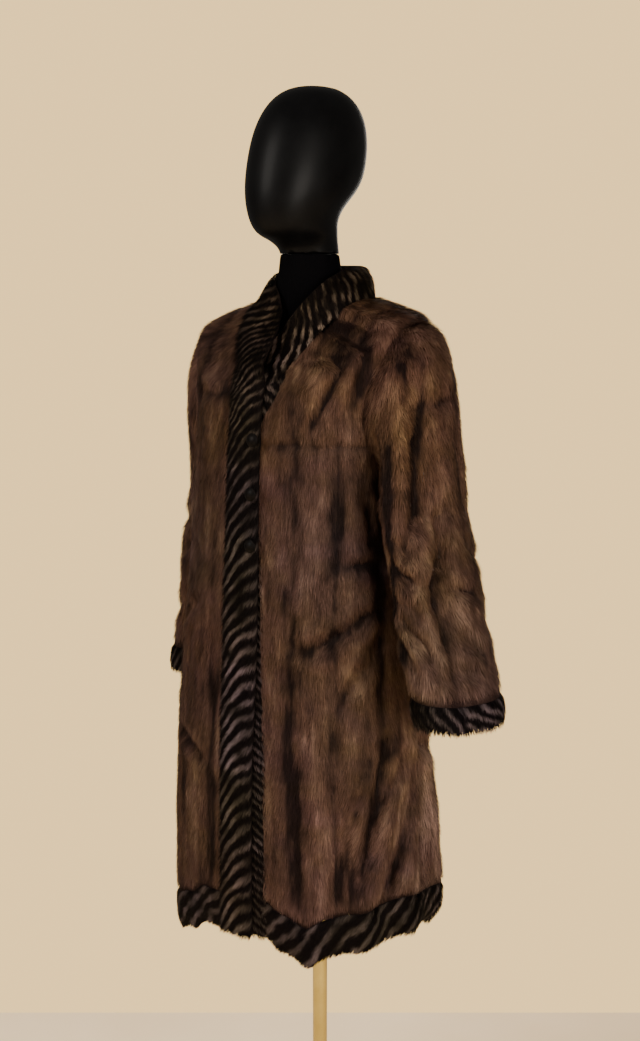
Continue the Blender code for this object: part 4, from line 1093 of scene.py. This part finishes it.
def sleeve_cap(side, turn, steps):
    """From the armhole down to the sleeve's first plain ring, along soft curves."""
    up = 1 - np.abs(1 - turn / 180.0)
    zone = 2.0 + up
    in_front = turn <= 180.0
    angle = np.where(
        in_front, 90.0 - armhole_cut(zone, ARMHOLE_FRONT_DEG), 90.0 + armhole_cut(zone, ARMHOLE_BACK_DEG)
    )
    level = level_at(zone, hem_height(angle))
    start, normal = coat_point(angle, level), coat_normal(angle, level)
    first_z = np.full(turn.shape, SLEEVE_RINGS[side][0][0])
    end = sleeve_ring(side, first_z, turn)
    c, s = np.cos(np.radians(turn)), np.sin(np.radians(turn))
    pit, tip, face = np.maximum(0, c) ** 2, np.maximum(0, -c) ** 2, s * s
    front = np.where(s > 0, 1.0, -1.0)
    plain = np.ones_like(pit)
    leave = unit(pit[:, None] * (0.90, 0.0, 0.90) + tip[:, None] * (1.0, 0.0, -0.02))
    leave = unit(leave + face[:, None] * np.stack((plain, -0.25 * front, 0.05 * plain), axis=-1))
    into = laid_flat(np.stack((0 * s, s, c), axis=-1), normal)
    lacking = np.maximum(0.0, LEAST_INTO_ARMHOLE - (leave * into).sum(-1, keepdims=True))
    leave = unit(leave + lacking * into)
    first = start + leave * (0.019 * pit + 0.058 * tip + 0.030 * face)[:, None]
    second = end + np.stack(
        (0.008 * pit - 0.008 * tip, 0 * pit, 0.026 * pit + 0.120 * tip + 0.070 * face), axis=-1
    )
    t = ((np.arange(steps + 1) / steps) ** 1.3)[:, None, None]
    curve = (1 - t) ** 3 * start + 3 * t * (1 - t) ** 2 * first
    return curve + 3 * t * t * (1 - t) * second + t**3 * end, normal


CAP_STEPS, ARM_STEPS, CUFF_STEPS, SLEEVE_COLUMNS = 28, 64, 12, 96
# Rows from the armhole over which a sleeve turns off the coat, its creases begin, and its head
# stands out
TURN_ROWS, PLAIN_ROWS, HEAD_ROWS = 7.0, 6.0, 14.0


def sleeve_skin(side):
    """The whole sleeve and its cuff as one grid, and the row where the cuff begins."""
    turn = np.arange(SLEEVE_COLUMNS) * 360.0 / SLEEVE_COLUMNS
    cap, armhole_normal = sleeve_cap(side, turn, CAP_STEPS)
    first_z, end_z = SLEEVE_RINGS[side][0][0], SLEEVE_RINGS[side][-1][0]
    arm_z = np.linspace(first_z, CUFF_TOP[side], ARM_STEPS + 1)[1:]
    down_cuff = np.linspace(0, 1, CUFF_STEPS + 1)[1:]
    cuff_z = CUFF_TOP[side] + (end_z - CUFF_TOP[side]) * down_cuff
    z = np.concatenate([arm_z, cuff_z])
    roll = np.concatenate([0 * arm_z, -rows_at(CUFF_ROLL, down_cuff)[1]])
    z, roll, turns = np.broadcast_arrays(z[:, None], roll[:, None], turn[None, :])
    points = np.concatenate([cap, sleeve_ring(side, z, turns, roll)])
    normals = grid_normals(points, ring=True)
    middle = points[CAP_STEPS + 5].mean(axis=0)
    if (normals[CAP_STEPS + 5] * (points[CAP_STEPS + 5] - middle)).sum() < 0:
        normals = -normals
    row = np.arange(len(points))[:, None]
    share = (np.clip(1 - row / TURN_ROWS, 0, 1) ** 2)[..., None]
    normals = unit(normals * (1 - share) + armhole_normal * share)
    turns = np.broadcast_to(turn, points.shape[:2])
    off = creased(points, turns, SLEEVE_CREASES[side], SLEEVE_PER_DEG)
    off = off * np.clip(row / PLAIN_ROWS, 0, 1)
    off = off + 0.0012 * other_wander.at(points * (1, 1, 0.5), 0.028)
    off = off + SLEEVE_HEAD * np.sin(math.pi * np.clip(row / HEAD_ROWS, 0, 1))
    points = points + off[..., None] * normals
    if side == "right":
        points, normals = points * (-1, 1, 1), normals * (-1, 1, 1)
    return Skin(points, normals, turns, points[..., 2], ring=True), CAP_STEPS + ARM_STEPS


def sleeve_lay(side):
    """Down the arm, from the shoulder to the cuff."""
    z, x, y = np.subtract(SLEEVE_RINGS[side][-1], SLEEVE_RINGS[side][0])[:3]
    run = unit(np.array((x, y, z)))
    if side == "right":
        run = run * (-1, 1, 1)

    def lay(points, normal, turn, z):
        over = np.maximum(0.0, normal[..., 2:]) * np.array((1.0, 0.0, 0.0)) * np.sign(points[..., :1])
        return DOWNWARDS + run + over

    return lay


def mink_sleeve(side):
    def colour_of(points, turn, z):
        shifted = turn + 3.5 * wander.at(points * (1, 1, 0.4), 0.05)
        tone = SLEEVE_TONE + grain(points)
        for n, line in enumerate(SLEEVE_LINES):
            off = apart(shifted, line)
            strength = 0.8 + 0.4 * wander.at(points + 0.31 * n, 0.08)
            tone = tone - 0.16 * strength * np.exp(-((off / SLEEVE_LINE_DEG) ** 2))
            tone = tone - 0.05 * np.exp(-((off / SLEEVE_SHADOW_DEG) ** 2))
        return mink_colour(tone, points, turn, SLEEVE_STREAKS_AND_PAINTED_LIGHT[side], SLEEVE_CREASES[side], SLEEVE_PER_DEG)

    return colour_of


sleeve_grids = {}
for number, (side, counts) in enumerate((("left", (9000, 80000)), ("right", (6000, 54000)))):
    whole, seam_row = sleeve_skin(side)
    sleeve_grids[side] = (whole, seam_row)
    make_pelt(
        "mink_sleeve_" + side, ["sleeve_" + side, "sleeve_lower_" + side],
        whole.rows(0, seam_row + 1), MINK, counts, sleeve_lay(side), mink_sleeve(side),
        ["mink_front_" + side, "mink_back"], 110 + number, (0, seam_row - 3),
    )


# ---------------------------------------------------------------- striped trim
# Hem, cuffs, front bands and the narrow shawl collar are of short black fur with soft
# grey-brown stripes, cut in strips 57 to 60 mm wide so that the stripes run slantwise.
TRIM = Coat(
    fur_finish("striped fur", 0.66, 0.03), "striped_fur", 0.0048,
    (0.0105, 0.0012, (30.0, 10.0)), (0.0090, 0.0013, 22.0),
)
TRIM_DARK = np.array((0.0034, 0.0024, 0.0023))
TRIM_STRIPE = np.array((0.1040, 0.0800, 0.0690))
# share of the way up from the hem, how far its fur turns in there
HEM_ROLL = ((0.0, 0.008), (0.333, 0.002), (0.667, 0.0003), (1.0, 0.0))
HEM_FUR_FROM = 0.04
# From stripe to stripe, in metres
HEM_STRIPE = 0.023
CUFF_STRIPE, CUFF_LEVEL_STRIPE = 0.019, 0.014
RIGHT_STRIPE, LEFT_STRIPE, COLLAR_STRIPE = 0.0240, 0.0135, 0.0140


def striped(points, phase, thin, light, loose=1.0):
    """Soft uneven stripes: one for each whole number of phase, light over a share of it."""
    phase = phase + loose * (0.34 * wander.at(points, 0.030) + 0.14 * other_wander.at(points, 0.010))
    wave = 0.5 + 0.5 * np.cos(2 * math.pi * phase)
    share = ease(thin - 0.15, thin + 0.60, wave) * light * (0.70 + 0.7 * third_wander.at(points, 0.020))
    share = np.clip(share, 0.0, 1.3)[..., None]
    return tinted(TRIM_DARK + (TRIM_STRIPE - TRIM_DARK) * share, points)


def hem_colour(points, angle, level):
    round_it = angle * BODY_PER_DEG * 0.85
    return striped(points, (round_it - 0.75 * points[..., 2]) / HEM_STRIPE, 0.50, 0.62)


def hem_lay(points, normal, angle, level):
    """Down and to one side, along the stripes."""
    return DOWNWARDS - 0.8 * round_coat(angle)


# side: columns, long and short hairs, cut width
HEM_TRIMS = {
    "back": (88, (6500, 12000), 0.70),
    "left": (44, (4600, 9000), 0.30),
    "right": (44, (4000, 7500), 0.30),
}
for number, (side, (columns, counts, width)) in enumerate(HEM_TRIMS.items()):
    skin = panel_skin(side, zones_up((HEM_FUR_FROM, 1.0, 10)), columns)
    zone = np.linspace(HEM_FUR_FROM, 1.0, 11)[:, None, None]
    behind = 1 + 1.5 * ease(80, 110, np.abs(apart(skin.across, 0.0)))
    skin.pushed(-rows_at(HEM_ROLL, zone)[1][..., 0] * behind)
    make_pelt(
        "hem_trim_" + side, ["hem_" + side], skin, TRIM, counts, hem_lay, hem_colour,
        [panel_name(side)], 120 + number,
    )


CUFF_JOIN_DEG = 148.0


def cuff_colour(points, turn, z):
    """The cuff's strip starts and ends at a join in front, where its stripes turn."""
    slanted = (turn * SLEEVE_PER_DEG + 0.8 * z) / CUFF_STRIPE
    level = (0.35 * turn * SLEEVE_PER_DEG + z) / CUFF_LEVEL_STRIPE
    off = turn - CUFF_JOIN_DEG
    past_join = ease(-1, 1, off) * ease(75, 45, off)
    phase = slanted + (level - slanted) * np.round(past_join)
    light = (0.50 + 0.25 * past_join) * (1 - 0.8 * np.exp(-((off / 3.0) ** 2)))
    return striped(points, phase, 0.50, light)


for number, side in enumerate(("left", "right")):
    whole, seam_row = sleeve_grids[side]
    make_pelt(
        "cuff_trim_" + side, ["cuff_" + side], whole.rows(seam_row, seam_row + CUFF_STEPS - 3),
        TRIM, (3600, 5500), sleeve_lay(side), cuff_colour,
        ["mink_sleeve_" + side], 130 + number,
    )


# The front bands run down both fronts, and the half collars go on from them to the back.
NECK_AXIS_Y = -0.0237
NECK_RADIUS = 0.085
STRIP_COLUMNS = 16
BAND_BULGE, EDGE_ROLL = 0.0022, 0.0045
COLLAR_STATIONS = 14
# station, x, y, z, bulge of the collar's free edge
COLLAR_EDGE = {
    "right": (
        (0.15, 0.016, -0.154, 1.35, 0.001), (0.3, 0.015, -0.137, 1.374, 0.002),
        (0.45, 0.011, -0.112, 1.402, 0.003), (0.6, -0.003, -0.089, 1.429, 0.004),
        (0.8, -0.026, -0.075, 1.456, 0.006), (1, -0.064, -0.024, 1.481, 0.006),
        (1.33, -0.063, 0.023, 1.489, 0.006), (1.66, -0.037, 0.046, 1.491, 0.006),
        (2, 0, 0.054, 1.492, 0.006),
    ),
    "left": (
        (0.15, -0.022, -0.127, 1.341, 0), (0.3, -0.01, -0.112, 1.368, 0.001),
        (0.45, 0.004, -0.097, 1.398, 0.002), (0.6, 0.033, -0.09, 1.431, 0.004),
        (0.8, 0.056, -0.071, 1.461, 0.006), (1, 0.067, -0.026, 1.484, 0.006),
        (1.33, 0.063, 0.023, 1.489, 0.006), (1.66, 0.037, 0.046, 1.491, 0.006),
        (2, 0, 0.054, 1.492, 0.006),
    ),
}


def band_skin(side, zones):
    """A front band; its across runs from 0 at the fur front's seam to 1 at the free edge."""
    zone = zones[:, None]
    level = plain_level(zone)
    edges = rows_at(BAND_EDGES, level)
    seam, free = (edges[1], edges[2]) if side == "right" else (edges[4], edges[3])
    share = np.linspace(0, 1, STRIP_COLUMNS + 1)
    angle = angle_of(seam + (free - seam) * share, np.broadcast_to(level, (len(zones), len(share))))
    out = BAND_BULGE * np.sin(math.pi * share) - EDGE_ROLL * ease(0.80, 1.0, share) ** 2
    return coat_skin(zone, angle, side, share, out)


def collar_skin(side, band_end):
    """A half collar; its up is the station from the front corner, 0, to the back, 2."""
    mirror = np.array((-1.0 if side == "right" else 1.0, 1.0, 1.0))
    stations = np.linspace(0, 2, 2 * COLLAR_STATIONS + 1)
    edge_level = np.full(1, NECK_SEAM_LEVEL)
    edges = rows_at(BAND_EDGES, edge_level)
    seam_x = -edges[1] if side == "right" else edges[4]
    seam_from = angle_of(seam_x, edge_level)[0]
    in_front = seam_from + (90.0 - seam_from) * np.minimum(stations, 1.0)
    angle = in_front + 90.0 * np.maximum(stations - 1.0, 0.0)
    level = np.full(angle.shape, NECK_SEAM_LEVEL)
    seam = coat_point(angle, level)
    seam = seam + (lap(seam[:, 0] * mirror[0], side) * (stations < 1))[:, None] * coat_normal(angle, level)
    seam = seam * mirror
    seam_normal = coat_normal(angle, level) * mirror
    corner = band_end.points[-1, -1]
    table = ((0.0, *corner, 0.0), *COLLAR_EDGE[side])
    _, x, y, z, bulge = rows_at(table, stations)
    edge = np.stack((x, y, z), axis=-1)
    middle = (seam + edge) / 2
    away = unit(middle - np.stack((0 * x, NECK_AXIS_Y + 0 * x, middle[:, 2] - 0.03), axis=-1))
    share = np.linspace(0, 1, STRIP_COLUMNS + 1)[None, :, None]
    out = (bulge[:, None, None] * 4 * share * (1 - share)) * away[:, None]
    points = seam[:, None] + (edge - seam)[:, None] * share + out
    settle = np.clip(1 - stations * COLLAR_STATIONS / 3.0, 0, 1)[:, None, None]
    points = points + settle * (band_end.points[-1] - points[0])
    normals = grid_normals(points)
    away_all = points - np.array((0.0, NECK_AXIS_Y, 1.0))
    if (normals * away_all).sum() < 0:
        normals = -normals
    near = (1 - share) ** 3
    normals = unit(normals * (1 - near) + seam_normal[:, None] * near)
    normals = unit(normals * (1 - settle) + band_end.normals[-1] * settle)
    return Skin(points, normals, share[..., 0], stations[:, None])


def right_colour(points, share, up):
    """Stripes that rise towards the free edge, and come closer and more level up the collar, with painted
    light along the band's rounded middle.
    """
    z = points[..., 2]
    steep = 1 - 0.80 * ease(1.34, 1.43, z)
    height = z - (0.104 * share - 0.040 * share**2) * steep
    upper = np.clip(height - 1.16, 0.0, None)
    closer = np.where(upper < 0.16, upper**2 / 0.32, upper - 0.08)
    calm = ease(0.95, 1.20, z)
    # Painted light: the stripes are lighter along the band's rounded middle and fade darker towards both of
    # its edges
    light = (0.85 - 0.30 * calm) * (0.40 + 0.75 * np.sin(math.pi * np.clip(share, 0, 1)) ** 1.3)
    light = light * np.clip(1 + 0.9 * calm * wander.at(points + 0.2, 0.011), 0.2, 1.8)
    phase = height / RIGHT_STRIPE + closer * 34.0
    return striped(points, phase, 0.44 + 0.12 * calm, light, 0.60 + 0.25 * calm)


def left_band_colour(points, share, level):
    """Closer stripes that hardly rise."""
    return striped(points, (points[..., 2] - 0.034 * share) / LEFT_STRIPE, 0.50, 0.45, 0.5)


def left_collar_colour(points, share, station):
    """Stripes that run out from the neck, broken into blotches."""
    turn = np.arctan2(points[..., 0], -(points[..., 1] - NECK_AXIS_Y))
    blotch = np.clip(0.55 + 1.5 * third_wander.at(points + 0.4, 0.013), 0.10, 1.6)
    light = (0.70 + 1.5 * ease(0.75, 0.20, station)) * blotch
    phase = (turn * NECK_RADIUS + 0.10 * points[..., 2]) / COLLAR_STRIPE
    return striped(points, phase, 0.50, light, 1.5)


def band_lay(lean):
    """Down, and across the band by its lean."""
    def lay(points, normal, share, level):
        return np.array((lean, 0.0, -1.0)) + 0 * points

    return lay


def collar_lay(points, normal, share, station):
    """Out from the neck and down towards the seam."""
    out = points - np.array((0.0, NECK_AXIS_Y, 0.0))
    out[..., 2] = -0.06
    return out


BAND_ZONES = zones_up((HEM_FUR_FROM, 1.0, 10), (1.0, 2.0, 104), (2.0, 3.0, 44), (3.0, 4.0, 8))
# side: long and short hairs of the band, its lean, colour of the band and of the collar
BANDS = {
    "right": ((9500, 14000), -0.55, right_colour, right_colour),
    "left": ((7500, 11000), 0.75, left_band_colour, left_collar_colour),
}
for number, (side, (counts, lean, band_colour, collar_colour)) in enumerate(BANDS.items()):
    skin = band_skin(side, BAND_ZONES)
    make_pelt(
        "front_band_" + side, ["band_" + side], skin, TRIM, counts, band_lay(lean), band_colour,
        ["mink_front_" + side], 140 + number,
    )
    make_pelt(
        "collar_trim_" + side, ["collar_" + side], collar_skin(side, skin), TRIM, (4200, 6000),
        collar_lay, collar_colour, ["front_band_" + side, "mink_back"],
        144 + number,
    )


# ---------------------------------------------------------------- buttons
# Three domed buttons of dark horn, each with a low rim, sewn along the right band.
horn = Finish("dark horn", Specular_IOR_Level=0.04, Coat_Roughness=0.35)
horn_cloud = horn.noise(160.0, 4.0)
horn.coloured(horn_cloud, (0.35, (0.0010, 0.0008, 0.0008)), (0.65, (0.0040, 0.0028, 0.0024)))
horn.feed("Roughness", 0.48 + horn_cloud * 0.15)
horn.feed("Coat Weight", 0.02 + horn_cloud * 0.04)
horn.relief(horn_cloud, 0.1, 0.0004)

for number in (1, 2, 3):
    rounded_copy(f"button_{number}", f"coat_button_{number}", horn, 2, 35.0)


# ---------------------------------------------------------------- floor, light and camera
# A small pale floor, two large soft lamps in front and a weak one behind, and a
# camera at eye height, to the wearer's left of the front.
floor_finish = Finish("pale floor", Roughness=0.9)
dust = floor_finish.noise(6.0, 4.0)
floor_finish.coloured(dust, (0.3, (0.84, 0.68, 0.46)), (0.7, (0.90, 0.74, 0.52)))
floor_finish.feed("Emission Color", (1.00, 0.62, 0.26, 1.0))
floor_finish.feed("Emission Strength", 0.45)
FLOOR_MIDDLE = (1.103, -1.411, 0.0)
FLOOR_SIZE = (8.0, 4.9, 1.0)
FLOOR_TURN_DEG = 38.0
bpy.ops.object.select_all(action="DESELECT")
bpy.ops.mesh.primitive_plane_add(
    size=1, location=FLOOR_MIDDLE, rotation=(0, 0, math.radians(FLOOR_TURN_DEG))
)
floor = bpy.context.active_object
floor.name = floor.data.name = "floor"
floor.scale = FLOOR_SIZE
bpy.ops.object.transform_apply(location=True, rotation=True, scale=True)
floor.data.materials.append(floor_finish.material)

WALL_COLOUR = (1.740, 1.170, 0.490)
DOME_COLOUR = (1.0, 0.93, 0.84)
DOME_STRENGTH = 0.25
world = bpy.data.worlds.new("studio")
world.use_nodes = True
nodes, links = world.node_tree.nodes, world.node_tree.links
backdrop = nodes["Background"]
backdrop.inputs["Color"].default_value = (*WALL_COLOUR, 1.0)
dome = nodes.new("ShaderNodeBackground")
dome.inputs["Color"].default_value = (*DOME_COLOUR, 1.0)
dome.inputs["Strength"].default_value = DOME_STRENGTH
seen = nodes.new("ShaderNodeLightPath")
either = nodes.new("ShaderNodeMixShader")
links.new(seen.outputs["Is Camera Ray"], either.inputs["Fac"])
links.new(dome.outputs["Background"], either.inputs[1])
links.new(backdrop.outputs["Background"], either.inputs[2])
links.new(either.outputs["Shader"], nodes["World Output"].inputs["Surface"])
bpy.context.scene.world = world

# place, point it lights, width, height, watts, colour
LAMPS = (
    ((-0.7, -3.0, 2.6), (0.0, 0.0, 1.05), 1.5, 1.8, 112.0, (1.0, 0.94, 0.86)),
    ((2.8, -1.3, 1.5), (0.0, 0.0, 0.95), 1.2, 1.6, 112.0, (1.0, 0.93, 0.84)),
    ((-1.6, 2.8, 1.7), (0.0, 0.0, 1.0), 1.8, 1.8, 55.0, (1.0, 0.93, 0.85)),
)
for number, (place, target, width, height, watts, colour) in enumerate(LAMPS):
    lamp = bpy.data.lights.new(f"lamp_{number}", "AREA")
    lamp.shape = "RECTANGLE"
    lamp.size, lamp.size_y, lamp.energy, lamp.color = width, height, watts, colour
    holder = bpy.data.objects.new(f"lamp_{number}", lamp)
    holder.location = place
    holder.rotation_euler = (Vector(target) - Vector(place)).to_track_quat("-Z", "Y").to_euler()
    bpy.context.scene.collection.objects.link(holder)

CAMERA_PLACE = (1.3545, -1.7336, 1.42)
CAMERA_AZIMUTH_DEG = 38.0
CAMERA_PITCH_DEG = 8.02
camera = bpy.data.cameras.new("camera")
camera.lens, camera.sensor_width, camera.sensor_fit = 51.18, 36.0, "AUTO"
eye = bpy.data.objects.new("camera", camera)
eye.location = CAMERA_PLACE
eye.rotation_euler = (math.radians(90 - CAMERA_PITCH_DEG), 0.0, math.radians(CAMERA_AZIMUTH_DEG))
bpy.context.scene.collection.objects.link(eye)
bpy.context.scene.camera = eye
